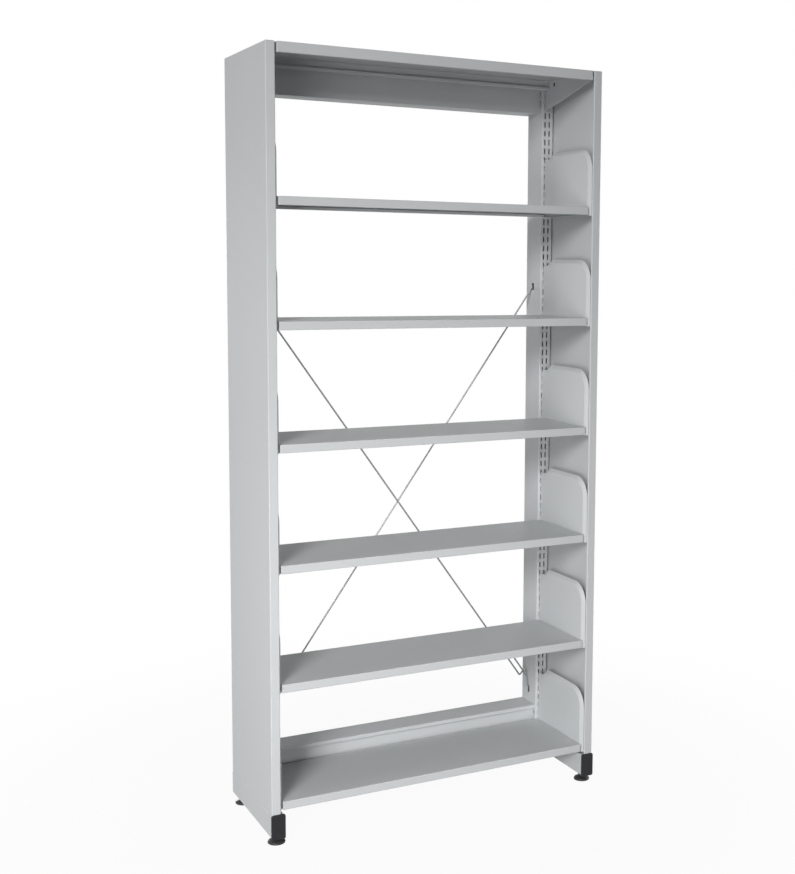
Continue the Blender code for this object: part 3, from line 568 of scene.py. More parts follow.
def face_outwards(piece):
    edit(piece)
    bpy.ops.mesh.select_all(action="SELECT")
    bpy.ops.mesh.normals_make_consistent(inside=False)
    work_on(piece)


def copied(piece, name, move=(0, 0, 0)):
    """A copy of a piece with its own mesh."""
    work_on(piece)
    bpy.ops.object.duplicate(linked=False)
    bpy.ops.transform.translate(value=move)
    return named(name)


def mirrored(piece, name):
    """The left-hand twin of a right-hand piece."""
    work_on(piece)
    bpy.ops.object.duplicate(linked=False)
    bpy.ops.transform.resize(value=(-1, 1, 1), center_override=(0, 0, 0))
    twin = named(name)
    face_outwards(twin)
    return twin


def settle(piece, body, slot, *nodes):
    """Gives a finished piece its shading, its material and its body, and hides the CAD nodes it stands
    for.
    """
    work_on(piece)
    bpy.ops.object.shade_smooth_by_angle(angle=math.radians(SMOOTH_ANGLE))
    modify(piece, "WEIGHTED_NORMAL", keep_sharp=True)
    piece.data.materials.clear()
    piece.data.materials.append(FINISHES[slot])
    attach(piece, body)
    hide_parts(*nodes)


def settle_pair(piece, base, body, slot, node):
    """Settles a right-hand piece and its mirrored left-hand twin."""
    twin = mirrored(piece, base.format("left"))
    settle(piece, body, slot, node.format("right"))
    settle(twin, body, slot, node.format("left"))


def hook(slot_low, edge, wall, across, axis):
    """A plate hook that leaves an edge and drops behind a slotted wall.

    Edge and wall are places along the axis, X or Y, that the hook leaves along, and across
    holds the plate's two faces along the other one.
    """
    seat = slot_low + GAP
    behind = wall + POST_WALL + HOOK_BACK_GAP

    def corner(along, side, height):
        return (along, side, height) if axis == X else (side, along, height)

    low = corner(edge, across[0], seat)
    high = corner(behind + HOOK_TIP, across[1], seat + HOOK_NECK)
    piece = begin_block("hook", low, high)
    edit(piece)
    score(axis, behind)
    pick("FACE", lambda face: lies_at(face, Z, seat) and face.calc_center_median()[axis] > behind)
    bpy.ops.mesh.extrude_region_move(TRANSFORM_OT_translate={"value": (0, 0, -HOOK_DROP)})
    work_on(piece)
    soften(piece, PLATE * EDGE_SOFTNESS)
    return piece


def make_end_panels():
    """Sides folded from one sheet: flanges along front, back and top, and a hem at the front."""
    low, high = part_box("end_panel_right")
    panel = begin_block("end_panel_sheet_right", low, high)
    edit(panel)
    remove_faces(lambda face: lies_at(face, X, low.x) or lies_at(face, Z, low.z))
    pick("EDGE", lambda edge: lies_at(edge, X, low.x) and lies_at(edge, Y, low.y))
    fold_on((0, PANEL_HEM, 0))
    pick("VERT", lambda vert: near(vert.co.y, low.y + PANEL_HEM) and near(vert.co.z, high.z))
    bpy.ops.transform.translate(value=(0, 0, -HEM_SNIP))
    bend_and_thicken(panel, PANEL_BEND, PANEL_SHEET)
    settle_pair(panel, "end_panel_sheet_{}", "frame", "grey_paint", "end_panel_{}")


def slot_columns(post_low):
    """A cutter for both slot columns in a post's front wall."""
    middle = post_low.z + SLOT_START
    half = SLOT_WIDTH / 2
    column = post_low.x + SLOT_COLUMN_INSET
    low = (column - half, post_low.y - POST_WALL, middle - SLOT_HEIGHT / 2)
    high = (column + half, post_low.y + 2 * POST_WALL, middle + SLOT_HEIGHT / 2)
    cutter = begin_block("slot_cutter", low, high)
    edit(cutter)
    round_edges(SLOT_CORNER, lambda edge: runs_along(edge, Y), EDGE_STEPS)
    rows = (SLOT_COUNT, (0, 0, SLOT_PITCH))
    columns = (SLOT_COLUMNS, (SLOT_COLUMN_SPACING, 0, 0))
    for count, step in (rows, columns):
        modify(cutter, "ARRAY", count=count, use_relative_offset=False, use_constant_offset=True,
               constant_offset_displace=step)
    return cutter


def side_slots(post_low):
    """Cutters for the rail and brace slots in a post's inner side wall."""
    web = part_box("top_rail")[0].y + RAIL_WEB_SETBACK
    rail_y = web + RAIL_SHEET + GAP - RAIL_SLOT_WIDTH / 2
    brace_y = post_low.y + BRACE_DEPTH
    places = [(brace_y, BRACE_SLOT_WIDTH, low, BRACE_SLOT_HEIGHT) for low in BRACE_SLOT_LOWS]
    for rail in ("top_rail", "bottom_rail"):
        for low in rail_slot_lows(rail):
            places.append((rail_y, RAIL_SLOT_WIDTH, low, SLOT_HEIGHT))
    cutters = []
    for y, width, bottom, height in places:
        low = (post_low.x - POST_WALL, y - width / 2, bottom)
        high = (post_low.x + 2 * POST_WALL, y + width / 2, bottom + height)
        cutters.append(begin_block("side_slot_cutter", low, high))
    return cutters


def rail_slot_lows(rail):
    """Lower ends of the post slots that a rail's hooks sit in."""
    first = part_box(rail)[1].z - RAIL_HOOK_DROP - SLOT_HEIGHT / 2
    return [first - index * SLOT_PITCH for index in range(RAIL_HOOK_COUNT)]


def make_posts():
    """Rectangular tubes with two slot columns in front and slots for rails and braces inside."""
    low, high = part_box("post_right")
    post = begin_block("slotted_post_right", low, high)
    edit(post)
    remove_faces(lambda face: lies_at(face, Z, low.z) or lies_at(face, Z, high.z))
    round_edges(POST_CORNER, lambda edge: runs_along(edge, Z))
    modify(post, "SOLIDIFY", thickness=POST_WALL, offset=-1, use_even_offset=True)
    combine(post, [slot_columns(low)] + side_slots(low), "DIFFERENCE")
    settle_pair(post, "slotted_post_{}", "frame", "grey_paint", "post_{}")


def make_legs():
    """Rectangular tubes from front to back, with a hole below for each foot's stem."""
    low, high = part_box("base_leg_right")
    leg = begin_block("leg_tube_right", low, high)
    edit(leg)
    remove_faces(lambda face: lies_at(face, Y, low.y) or lies_at(face, Y, high.y))
    round_edges(LEG_CORNER, lambda edge: runs_along(edge, Y))
    modify(leg, "SOLIDIFY", thickness=LEG_WALL, offset=-1, use_even_offset=True)
    holes = []
    for end in ("front", "rear"):
        stem_low, stem_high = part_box(f"foot_stem_{end}_right")
        radius = (stem_high.x - stem_low.x) / 2 + GAP
        centre = (stem_low + stem_high) / 2
        centre.z = low.z - LEG_WALL
        holes.append(begin_round("stem_hole", centre, radius, 3 * LEG_WALL, FOOT_SIDES))
    combine(leg, holes, "DIFFERENCE")
    settle_pair(leg, "leg_tube_{}", "frame", "grey_paint", "base_leg_{}")


def plug(name, low, high, axis, seat, sizes):
    """A moulded plug in a tube's end: a flange with a soft face, and a body inside the tube."""
    corner, edge_softness, inset = sizes
    outwards = seat > (low[axis] + high[axis]) / 2
    face_at, body_end = (high[axis], low[axis]) if outwards else (low[axis], high[axis])
    flange_low, flange_high = low.copy(), high.copy()
    if outwards:
        flange_low[axis] = seat
    else:
        flange_high[axis] = seat
    piece = begin_block(name, flange_low, flange_high)
    edit(piece)
    round_edges(corner, lambda edge: runs_along(edge, axis))
    round_edges(edge_softness, lambda edge: lies_at(edge, axis, face_at), RIM_STEPS)
    pick("FACE", lambda face: lies_at(face, axis, seat))
    bpy.ops.mesh.inset(thickness=inset, use_even_offset=True)
    move = [0, 0, 0]
    move[axis] = body_end - seat
    bpy.ops.mesh.extrude_region_move(TRANSFORM_OT_translate={"value": move})
    return piece


def make_caps_and_plugs():
    """Black caps on the legs' front ends, and plugs in their rear ends and in the posts' tops."""
    leg_low, leg_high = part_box("base_leg_right")
    post_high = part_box("post_right")[1]
    cap_sizes = (CAP_CORNER, CAP_EDGE, CAP_OVERHANG + LEG_WALL + GAP)
    leg_sizes = (LEG_CORNER, PLUG_EDGE, LEG_WALL + GAP)
    post_sizes = (POST_CORNER, PLUG_EDGE, POST_WALL + GAP)
    ends = (
        ("leg_cap_front_{}", Y, leg_low.y - GAP, cap_sizes),
        ("leg_plug_rear_{}", Y, leg_high.y + GAP, leg_sizes),
        ("post_plug_{}", Z, post_high.z + GAP, post_sizes),
    )
    for node, axis, seat, sizes in ends:
        low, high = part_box(node.format("right"))
        base = "moulded_" + node
        piece = plug(base.format("right"), low, high, axis, seat, sizes)
        settle_pair(piece, base, "frame", "black_plastic", node)


def foot_pad(name, low, high):
    """A round foot: a disc with a soft rim, a sloping top and a hub with a socket."""
    centre = (low + high) / 2
    centre.z = low.z
    radius = (high.x - low.x) / 2
    shoulder = radius - FOOT_SHOULDER
    pad = begin_round(name, centre, radius, FOOT_RIM, FOOT_SIDES)
    edit(pad)
    pick("FACE", lambda face: lies_at(face, Z, low.z + FOOT_RIM))
    raise_face(FOOT_SHOULDER, shoulder / radius, centre)
    raise_face(FOOT_SLOPE, FOOT_HUB_RADIUS / shoulder, centre)
    raise_face(high.z - low.z - FOOT_RIM - FOOT_SHOULDER - FOOT_SLOPE, 1.0, centre)
    stem_low, stem_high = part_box("foot_stem_front_right")
    socket = (stem_high.x - stem_low.x) / 2 + GAP
    raise_face(0.0, socket / FOOT_HUB_RADIUS, centre)
    raise_face(low.z + FOOT_SOCKET_FLOOR - high.z, 1.0, centre)
    work_on(pad)
    soften(pad, FOOT_SOFTNESS, FOOT_SOFT_ANGLE, RIM_STEPS)
    return pad


def foot_stem(name, low, high):
    """A threaded stem, turned as one long screw and cut off at both ends."""
    radius = (high.x - low.x) / 2
    stem = begin_point(name, (radius - THREAD_DEPTH, 0, low.z - THREAD_PITCH))
    draw_line((THREAD_DEPTH, 0, THREAD_FLANK), (0, 0, THREAD_FLAT),
              (-THREAD_DEPTH, 0, THREAD_FLANK), (0, 0, THREAD_FLAT))
    turns = math.ceil((high.z - low.z) / THREAD_PITCH) + 2
    modify(stem, "SCREW", axis="Z", angle=2 * math.pi, screw_offset=THREAD_PITCH, iterations=turns,
           steps=THREAD_SIDES, render_steps=THREAD_SIDES, use_merge_vertices=True,
           merge_threshold=TOUCH)
    edit(stem)
    bpy.ops.mesh.select_all(action="SELECT")
    bpy.ops.mesh.remove_doubles(threshold=TOUCH)
    for height, side in ((low.z, -1), (high.z, 1)):
        bpy.ops.mesh.select_all(action="SELECT")
        bpy.ops.mesh.bisect(plane_co=(0, 0, height), plane_no=(0, 0, side), use_fill=True,
                            clear_outer=True)
    bpy.ops.mesh.select_all(action="SELECT")
    bpy.ops.mesh.fill_holes(sides=0)
    work_on(stem)
    bpy.ops.transform.translate(value=((low.x + high.x) / 2, (low.y + high.y) / 2, 0))
    named(name)
    face_outwards(stem)
    return stem


def make_feet():
    """Four levelling feet, each a pad that drops as its stem turns."""
    first = FEET[1]
    low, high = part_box(f"foot_pad_{first}")
    pad = foot_pad(f"foot_disc_{first}", low, high)
    stem = foot_stem(f"threaded_stem_{first}", *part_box(f"foot_stem_{first}"))
    pads, stems = {first: pad}, {first: stem}
    for foot in FEET:
        if foot != first:
            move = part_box(f"foot_pad_{foot}")[0] - low
            pads[foot] = copied(pad, f"foot_disc_{foot}", move)
            stems[foot] = copied(stem, f"threaded_stem_{foot}", move)
    for foot in FEET:
        settle(pads[foot], f"foot_pad_{foot}", "black_plastic", f"foot_pad_{foot}")
        settle(stems[foot], f"foot_stem_{foot}", "zinc_screw", f"foot_stem_{foot}")


def make_rail(name, node):
    """A folded back rail: a lip in front, a set-back web and a channel behind, hooked at its ends."""
    low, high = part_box(node)
    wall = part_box("post_right")[0].x
    half = wall - GAP
    web = low.y + RAIL_WEB_SETBACK
    rail = begin_flat_sheet(name, (-half, low.y, high.z), (half, high.y, high.z))
    edit(rail)
    pick("EDGE", lambda edge: lies_at(edge, Y, low.y))
    fold_on((0, 0, -RAIL_LIP), (0, RAIL_WEB_SETBACK, 0), (0, 0, low.z + RAIL_LIP - high.z),
            (0, high.y - web, 0), (0, 0, RAIL_BACK_LIP))
    pick("EDGE", lambda edge: lies_at(edge, Y, high.y) and lies_at(edge, Z, high.z))
    fold_on((0, 0, -RAIL_BACK_LIP))
    bend_and_thicken(rail, RAIL_BEND, RAIL_SHEET)
    faces = (web, web + RAIL_SHEET)
    right = [hook(slot, half - HOOK_NECK, wall, faces, X) for slot in rail_slot_lows(node)]
    left = [mirrored(piece, "hook_left") for piece in right]
    combine(rail, right + left, "UNION")
    settle(rail, "frame", "grey_paint", node)


def hemmed_tray(name, low, high, hem_half, front_hem, rear_hem):
    """A folded sheet tray, open below, whose long lips are hemmed inwards."""
    tray = begin_block(name, low, high)
    edit(tray)
    remove_faces(lambda face: lies_at(face, Z, low.z))
    score(X, -hem_half, hem_half)
    for y, hem in ((low.y, front_hem), (high.y, rear_hem)):
        pick("EDGE", lambda edge: lies_at(edge, Z, low.z) and lies_at(edge, Y, y)
             and all(abs(vert.co.x) < hem_half + TOUCH for vert in edge.verts))
        fold_on(*hem)
    return tray


def make_shelves():
    """Lipped shelves, modelled once and copied down the rack."""
    low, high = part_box("shelf_1")
    upturn = (0, 0, SHELF_UPTURN)
    front_hem = ((0, SHELF_RETURN, 0), upturn)
    rear_hem = ((0, -SHELF_RETURN, 0), upturn)
    first = hemmed_tray("shelf_plate_1", low, high, high.x - SHELF_HEM_INSET, front_hem, rear_hem)
    bend_and_thicken(first, SHELF_BEND, SHELF_SHEET)
    plates = [first]
    for number in SHELVES[1:]:
        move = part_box(f"shelf_{number}")[0] - low
        plates.append(copied(first, f"shelf_plate_{number}", move))
    for number, plate in zip(SHELVES, plates):
        settle(plate, f"shelf_{number}", "grey_paint", f"shelf_{number}")


def make_canopy():
    """The top cover, hemmed in front and with a deeper hem behind."""
    low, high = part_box("canopy")
    lip_low = Vector((low.x, low.y, high.z - CANOPY_LIP))
    hem_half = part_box("shelf_1")[1].x
    upturn = (0, 0, CANOPY_UPTURN)
    front_hem = ((0, CANOPY_RETURN, 0), upturn)
    rear_hem = ((0, 0, low.z - lip_low.z), (0, -CANOPY_RETURN, 0), upturn)
    cover = hemmed_tray("canopy_cover", lip_low, high, hem_half, front_hem, rear_hem)
    bend_and_thicken(cover, CANOPY_BEND, CANOPY_SHEET)
    settle(cover, "frame", "grey_paint", "canopy")


def plate_faces():
    """The two faces of the bracket and gusset plates, along X."""
    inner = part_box("bracket_right_1")[0].x + BRACKET_LEDGE
    return inner, inner + PLATE


def plate_hooks(slot_lows):
    """Hooks of a right-hand plate, which sit in the post's inner slot column."""
    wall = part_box("post_right")[0].y
    return [hook(low, wall - GAP - HOOK_NECK, wall, plate_faces(), Y) for low in slot_lows]


def make_gussets():
    """Triangular hooked plates below the canopy's ends."""
    low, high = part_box("canopy_gusset_right")
    post_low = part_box("post_right")[0]
    rear = post_low.y - GAP
    inner = plate_faces()[0]
    gusset = begin_side_sheet("canopy_corner_plate_right", (inner, low.y, low.z), (inner, rear, high.z))
    edit(gusset)
    lip_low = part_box("canopy")[1].z - CANOPY_LIP
    pick("VERT", lambda vert: near(vert.co.y, low.y) and near(vert.co.z, low.z))
    bpy.ops.transform.translate(value=(0, 0, lip_low - low.z))
    modify(gusset, "SOLIDIFY", thickness=PLATE, offset=-1, use_even_offset=True)
    soften(gusset, PLATE * EDGE_SOFTNESS)
    first_slot = post_low.z + SLOT_START - SLOT_HEIGHT / 2
    index = math.ceil((low.z - first_slot) / SLOT_PITCH)
    slots = [first_slot + (index + step) * SLOT_PITCH for step in range(GUSSET_HOOKS)]
    combine(gusset, plate_hooks(slots), "UNION")
    settle_pair(gusset, "canopy_corner_plate_{}", "frame", "grey_paint", "canopy_gusset_{}")


def bracket_plate(name):
    """A shelf's end plate: its top and front are pressed outwards into a slanted rim."""
    low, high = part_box("bracket_right_1")
    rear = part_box("post_right")[0].y - GAP
    inner, outer = plate_faces()
    plate = begin_side_sheet(name, (inner, low.y, low.z), (inner, rear, high.z))
    edit(plate)
    pick("VERT", lambda vert: near(vert.co.y, low.y) and near(vert.co.z, high.z))
    bpy.ops.mesh.bevel(offset=BRACKET_CORNER, segments=BRACKET_CORNER_STEPS, affect="VERTICES")
    shoulder = rear - BRACKET_SHOULDER_RUN
    rim_rear = shoulder - BRACKET_SHOULDER_SLOPE
    score(Y, rim_rear, shoulder)
    pick("VERT", lambda vert: vert.co.y > shoulder - TOUCH and near(vert.co.z, high.z))
    bpy.ops.transform.translate(value=(0, 0, -BRACKET_SHOULDER_DROP))
    pick("FACE", lambda face: True)
    bpy.ops.mesh.inset(thickness=BRACKET_RIM, use_boundary=True, use_even_offset=True)
    foot = low.z + BRACKET_RIM + TOUCH
    pick("FACE", lambda face: all(vert.co.z < foot for vert in face.verts))
    bpy.ops.mesh.bisect(plane_co=(0, low.y + BRACKET_RIM, 0), plane_no=(0, 1, 0))
    pick("VERT", lambda vert: vert.is_boundary and on_bracket_rim(vert.co, low, high, rim_rear))
    bpy.ops.transform.translate(value=(BRACKET_RIM_OUT, 0, 0))
    soften(plate, BRACKET_RIM_BEND, BRACKET_RIM_ANGLE, RIM_STEPS)
    modify(plate, "SOLIDIFY", thickness=PLATE, offset=-1, use_even_offset=True)
    soften(plate, PLATE * EDGE_SOFTNESS)
    shelf_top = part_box("shelf_1")[1].z
    slot = shelf_top + BRACKET_SLOT_RISE - SLOT_HEIGHT / 2
    hooks = plate_hooks([slot + index * SLOT_PITCH for index in BRACKET_HOOK_SLOTS])
    ledge_low = (low.x, low.y + BRACKET_LEDGE_FRONT, low.z)
    ledge_high = (outer - GAP, rear - BRACKET_LEDGE_INSET, low.z + PLATE)
    ledge = begin_block("ledge", ledge_low, ledge_high)
    soften(ledge, PLATE * EDGE_SOFTNESS)
    combine(plate, hooks + [ledge], "UNION")
    return plate


def on_bracket_rim(spot, low, high, rim_rear):
    """True on the outer edge of the bracket that its rim follows."""
    on_top = spot.z > high.z - BRACKET_CORNER - TOUCH and spot.y < rim_rear + TOUCH
    return on_top or near(spot.y, low.y)


def make_brackets():
    """Brackets modelled once, then copied down the rack and mirrored."""
    right = bracket_plate("bracket_plate_right_1")
    left = mirrored(right, "bracket_plate_left_1")
    plates = {}
    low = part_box("bracket_right_1")[0]
    for side, first in (("right", right), ("left", left)):
        plates[side, 1] = first
        for number in SHELVES[1:]:
            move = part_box(f"bracket_right_{number}")[0] - low
            plates[side, number] = copied(first, f"bracket_plate_{side}_{number}", move)
    for (side, number), plate in plates.items():
        settle(plate, f"brackets_{number}", "grey_paint", f"bracket_{side}_{number}")


def round_screw(name, head_radius, head, shank_radius, length):
    """A round-headed screw that stands on the origin with its head up."""
    side = head * SCREW_HEAD_SIDE
    screw = begin_round(name, (0, 0, 0), head_radius, side, SCREW_SIDES)
    edit(screw)
    pick("FACE", lambda face: lies_at(face, Z, side))
    for rise, ratio in SCREW_HEAD_DOME:
        raise_face(head * rise, ratio, (0, 0, 0))
    pick("FACE", lambda face: lies_at(face, Z, 0))
    raise_face(0.0, shank_radius / head_radius, (0, 0, 0))
    raise_face(-length, 1.0, (0, 0, 0))
    return screw


def cut_cross(screw, head_radius, head):
    """Cuts a cross recess into a screw's head."""
    long_arm, short_arm = head_radius * RECESS_LENGTH, head_radius * RECESS_WIDTH
    floor, top = head * RECESS_FLOOR, head * RECESS_TOP
    arms = []
    for x, y in ((long_arm, short_arm), (short_arm, long_arm)):
        arms.append(begin_block("recess_arm", (-x, -y, floor), (x, y, top)))
    combine(arms[0], arms[1:], "UNION")
    combine(screw, arms[:1], "DIFFERENCE")


def placed(piece, name, turn, place):
    """Turns and moves a piece that was modelled at the origin."""
    work_on(piece)
    piece.rotation_euler = turn
    piece.location = place
    return named(name)


def make_flange_screws():
    """Cross-recessed screws through the rear flanges of the panels."""
    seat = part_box("end_panel_right")[1].y + GAP
    for number in (1, 2):
        low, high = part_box(f"panel_screw_right_{number}")
        place = ((low.x + high.x) / 2, seat, (low.z + high.z) / 2)
        screw = round_screw("flange_screw", **PANEL_SCREW)
        cut_cross(screw, PANEL_SCREW["head_radius"], PANEL_SCREW["head"])
        name = f"flange_screw_{{}}_{number}"
        placed(screw, name.format("right"), (-math.pi / 2, 0, 0), place)
        settle_pair(screw, name, "frame", "zinc_screw", f"panel_screw_{{}}_{number}")


def make_canopy_bolts():
    """Round-headed bolts, darkened by a painted shade ring, that hold the canopy's ends to their
    gussets.
    """
    low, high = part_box("canopy_screw_right")
    place = (plate_faces()[0] - GAP, (low.y + high.y) / 2, (low.z + high.z) / 2)
    bolt = round_screw("cover_bolt", **CANOPY_SCREW)
    placed(bolt, "cover_bolt_right", (0, -math.pi / 2, 0), place)
    settle_pair(bolt, "cover_bolt_{}", "frame", "zinc_screw", "canopy_screw_{}")
    # A dark ring of painted shade round each bolt head's rim, with a lighter middle
    finish = shade_ringed_bolt(place[Y], place[Z])
    for side in SIDES:
        bpy.data.objects[f"cover_bolt_{side}"].data.materials[0] = finish


def wire_with_eye(name, corners, centre, axis, toward):
    """A wire bent through corners that ends in an open eye round a neighbour's axis."""
    radius = 2 * ROD_RADIUS + EYE_CLEARANCE
    across = axis.cross(toward)
    first = math.pi + math.acos(radius / (centre - corners[-1]).length)
    eye_start = centre + (toward * math.cos(first) + across * math.sin(first)) * radius
    points = corners[:-1] + [eye_start]
    wire = begin_point(name, points[0])
    draw_line(*[after - before for before, after in zip(points, points[1:])])
    pick("VERT", lambda vert: len(vert.link_edges) == 2)
    bpy.ops.mesh.bevel(offset=ROD_BEND, segments=BEND_STEPS, affect="VERTICES")
    pick("VERT", lambda vert: (vert.co - eye_start).length < TOUCH)
    bpy.ops.mesh.spin(steps=EYE_STEPS, angle=-math.radians(EYE_SWEEP), center=centre, axis=axis)
    work_on(wire)
    bpy.ops.object.convert(target="CURVE")
    line = bpy.context.object
    line.data.bevel_depth = ROD_RADIUS
    line.data.bevel_resolution = ROD_RESOLUTION
    line.data.use_fill_caps = True
    bpy.ops.object.convert(target="MESH")
    wire = bpy.context.object
    edit(wire)
    bpy.ops.mesh.select_all(action="SELECT")
    bpy.ops.mesh.remove_doubles(threshold=TOUCH)
    face_outwards(wire)
    return wire


def brace(place, y):
    """A rod from the upper left slot and the link that ties it to the lower right slot."""
    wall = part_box("post_right")[0].x
    hook_x = wall + POST_WALL + GAP + ROD_BEND
    out_x = wall - ROD_STANDOFF
    low_slot, high_slot = BRACE_SLOT_LOWS
    high = high_slot + GAP + ROD_RADIUS
    low = low_slot + BRACE_SLOT_HEIGHT - GAP - ROD_RADIUS
    anchor = Vector((out_x, y, low))
    start = Vector((-out_x, y, high))
    down = (anchor - start).normalized()
    toward = Vector((-down.z, 0, down.x))

    rod_end = anchor - down * ROD_END
    hooked = [Vector((-hook_x, y, high - ROD_HOOK)), Vector((-hook_x, y, high))]
    corners = hooked + [start, rod_end, rod_end + toward * EYE_LEAD]
    rod = wire_with_eye(f"brace_wire_{place}", corners, rod_end + toward * LINK_OFFSET, down, toward)

    joint = anchor - down * LINK_JOIN + toward * LINK_OFFSET
    link_end = joint - down * LINK_LENGTH
    hooked = [Vector((hook_x, y, low + ROD_HOOK)), Vector((hook_x, y, low))]
    corners = hooked + [anchor, joint, link_end, link_end - toward * EYE_LEAD]
    eye = link_end - toward * LINK_OFFSET
    link = wire_with_eye(f"brace_tie_{place}", corners, eye, -down, -toward)
    return rod, link


def make_braces():
    """Two crossed rods behind the shelves, one just in front of the other."""
    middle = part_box("post_right")[0].y + BRACE_DEPTH
    front_rod, front_link = brace("front", middle - ROD_SPACING / 2)
    settle(front_rod, "frame", "zinc_wire", "brace_rod_front")
    settle(front_link, "frame", "zinc_wire", "brace_link_front")
    rod, link = brace("pattern", middle + ROD_SPACING / 2)
    for piece, name, node in ((rod, "brace_wire_rear", "brace_rod_rear"),
                              (link, "brace_tie_rear", "brace_link_rear")):
        settle(mirrored(piece, name), "frame", "zinc_wire", node)
        bpy.data.objects.remove(piece)


def dress_nuts():
    """The nuts keep their CAD shape and get the zinc finish."""
    nuts = [f"foot_nut_{foot}" for foot in FEET] + [f"canopy_nut_{side}" for side in SIDES]
    for node in nuts:
        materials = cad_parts[node].data.materials
        materials.clear()
        materials.append(FINISHES["zinc_screw"])


# Camera and studio
IMAGE = (795, 874)
FOCUS_PX = 1314.4563
CENTRE_PX = (524.8464, 397.0002)
CAMERA_PLACE = Vector((-1.4711, -3.27115, 1.4688))
CAMERA_YAW = 0.5049
CAMERA_PITCH = 0.0991
CAMERA_ROLL = 0.0105
SENSOR = 36.0
FLOOR_SIZE = 14.0
LAMPS = (
    {"name": "key_lamp", "place": (-5.14, -6.13, 4.0), "aim": (-1.4, 0, 1.0),
     "size": 2.1, "spread": 70, "power": 72},
    {"name": "side_lamp", "place": (-7.88, -1.39, 4.0), "aim": (0, 0, 1.0),
     "size": 1.6, "spread": 180, "power": 58},
    {"name": "rear_lamp", "place": (0.0, 8.0, 1.3), "aim": (0, 0, 1.0),
     "size": 1.6, "spread": 180, "power": 210},
    {"name": "right_lamp", "place": (8.0, 0.0, 1.3), "aim": (0, 0, 1.0),
     "size": 1.6, "spread": 180, "power": 220},
    {"name": "low_left_lamp", "place": (-1.98, -1.98, 0.6), "aim": (0, 0, 0.6),
     "size": 1.0, "spread": 80, "power": 5.2},
    {"name": "low_front_lamp", "place": (-0.24, -2.79, 0.6), "aim": (0, 0, 0.35),
     "size": 1.0, "spread": 70, "power": 2.0},
)
ROOM_LIGHT = 0.07
FLOOR_SHADES = ((0.43, 0.43, 0.43), (0.47, 0.47, 0.47))
FLOOR_CLOUDS = {"scale": 2.0, "detail": 2.0}
FLOOR_DULLNESS = 0.9
FLOOR_FADE = (0.6, 1.8)
FLOOR_WHITE = (0.95, 1.0)


def make_camera():
    """The camera at the photograph's place, turn and frame."""
    ahead = Vector((math.sin(CAMERA_YAW) * math.cos(CAMERA_PITCH),
                    math.cos(CAMERA_YAW) * math.cos(CAMERA_PITCH), -math.sin(CAMERA_PITCH)))
    right = Vector((math.cos(CAMERA_YAW), -math.sin(CAMERA_YAW), 0))
    up = right.cross(ahead)
    rolled_right = right * math.cos(CAMERA_ROLL) + up * math.sin(CAMERA_ROLL)
    rolled_up = up * math.cos(CAMERA_ROLL) - right * math.sin(CAMERA_ROLL)
    turn = Matrix((rolled_right, rolled_up, -ahead)).transposed().to_4x4()
    data = bpy.data.cameras.new("photo_camera")
    camera = bpy.data.objects.new("photo_camera", data)
    bpy.context.scene.collection.objects.link(camera)
    camera.matrix_world = Matrix.Translation(CAMERA_PLACE) @ turn
    data.sensor_fit = "VERTICAL"
    data.sensor_height = SENSOR
    data.lens = FOCUS_PX * SENSOR / IMAGE[1]
    data.shift_x = (IMAGE[0] / 2 - CENTRE_PX[0]) / IMAGE[1]
    data.shift_y = (CENTRE_PX[1] - IMAGE[1] / 2) / IMAGE[1]
    bpy.context.scene.camera = camera


def seen_directly(start):
    """1 for rays from the camera, and for reflected and refracted ones, so metal shows white too."""
    camera = start.add("ShaderNodeLightPath", output="Is Camera Ray")
    glossy = start.add("ShaderNodeLightPath", output="Is Glossy Ray")
    through = start.add("ShaderNodeLightPath", output="Is Transmission Ray")
    return start.math("MINIMUM", camera + glossy + through, 1.0)


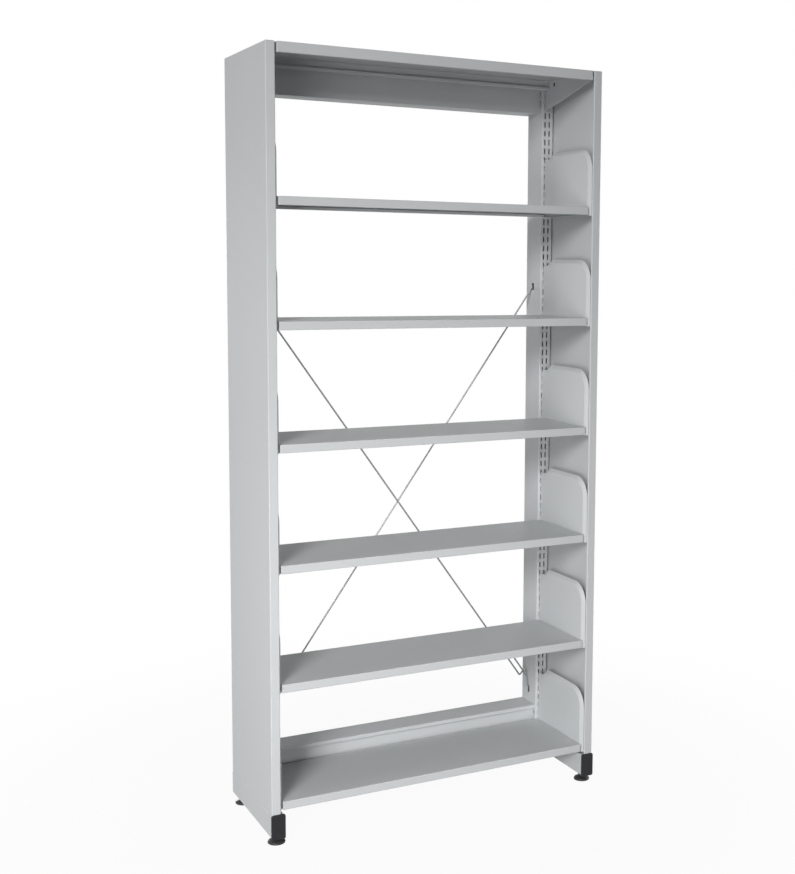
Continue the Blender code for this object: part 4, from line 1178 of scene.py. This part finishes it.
def make_floor():
    """A pale floor that stays white to the camera and keeps the rack's shadow."""
    work_on(None)
    bpy.ops.mesh.primitive_plane_add(size=FLOOR_SIZE, location=(0, 0, 0))
    floor = named("studio_floor")
    finish, shader, place = new_finish("pale_floor")
    dress(shader, Base_Color=between(noise(place, **FLOOR_CLOUDS), FLOOR_SHADES))
    shader.inputs["Roughness"].default_value = FLOOR_DULLNESS
    lit = Tone(place.tree, shader.outputs[0])
    white = place.add("ShaderNodeEmission", {}, {"Strength": 1.0})
    whiteness = fade(length_of(place), FLOOR_FADE, FLOOR_WHITE, interpolation_type="SMOOTHSTEP")
    share = seen_directly(place) * whiteness
    mixed = place.add("ShaderNodeMixShader", {}, {0: share, 1: lit, 2: white})
    output = place.tree.nodes["Material Output"]
    place.tree.links.new(mixed.socket, output.inputs["Surface"])
    floor.data.materials.append(finish)


def make_room():
    """A white room that lights the rack softly from all round."""
    world = bpy.data.worlds.new("white_room")
    bpy.context.scene.world = world
    world.use_nodes = True
    start = Tone(world.node_tree)
    light = start.add("ShaderNodeBackground", {}, {"Color": (1, 1, 1, 1), "Strength": ROOM_LIGHT})
    white = start.add("ShaderNodeBackground", {}, {"Color": (1, 1, 1, 1), "Strength": 1.0})
    mixed = start.add("ShaderNodeMixShader", {}, {0: seen_directly(start), 1: light, 2: white})
    output = world.node_tree.nodes["World Output"]
    start.tree.links.new(mixed.socket, output.inputs["Surface"])


def make_lamps():
    """Soft lamps round the rack, the brightest of them in front on its left."""
    for lamp in LAMPS:
        data = bpy.data.lights.new(lamp["name"], "AREA")
        data.shape = "SQUARE"
        data.size = lamp["size"]
        data.spread = math.radians(lamp["spread"])
        data.energy = lamp["power"]
        softbox = bpy.data.objects.new(lamp["name"], data)
        bpy.context.scene.collection.objects.link(softbox)
        place = Vector(lamp["place"])
        softbox.location = place
        softbox.rotation_mode = "QUATERNION"
        softbox.rotation_quaternion = (Vector(lamp["aim"]) - place).to_track_quat("-Z", "Y")
        softbox.visible_camera = False


make_end_panels()
make_posts()
make_legs()
make_caps_and_plugs()
make_feet()
make_rail("top_back_rail", "top_rail")
make_rail("bottom_back_rail", "bottom_rail")
make_canopy()
make_gussets()
make_shelves()
make_brackets()
make_flange_screws()
make_canopy_bolts()
make_braces()
dress_nuts()
make_camera()
make_floor()
make_room()
make_lamps()
bpy.context.scene.view_settings.view_transform = "Standard"
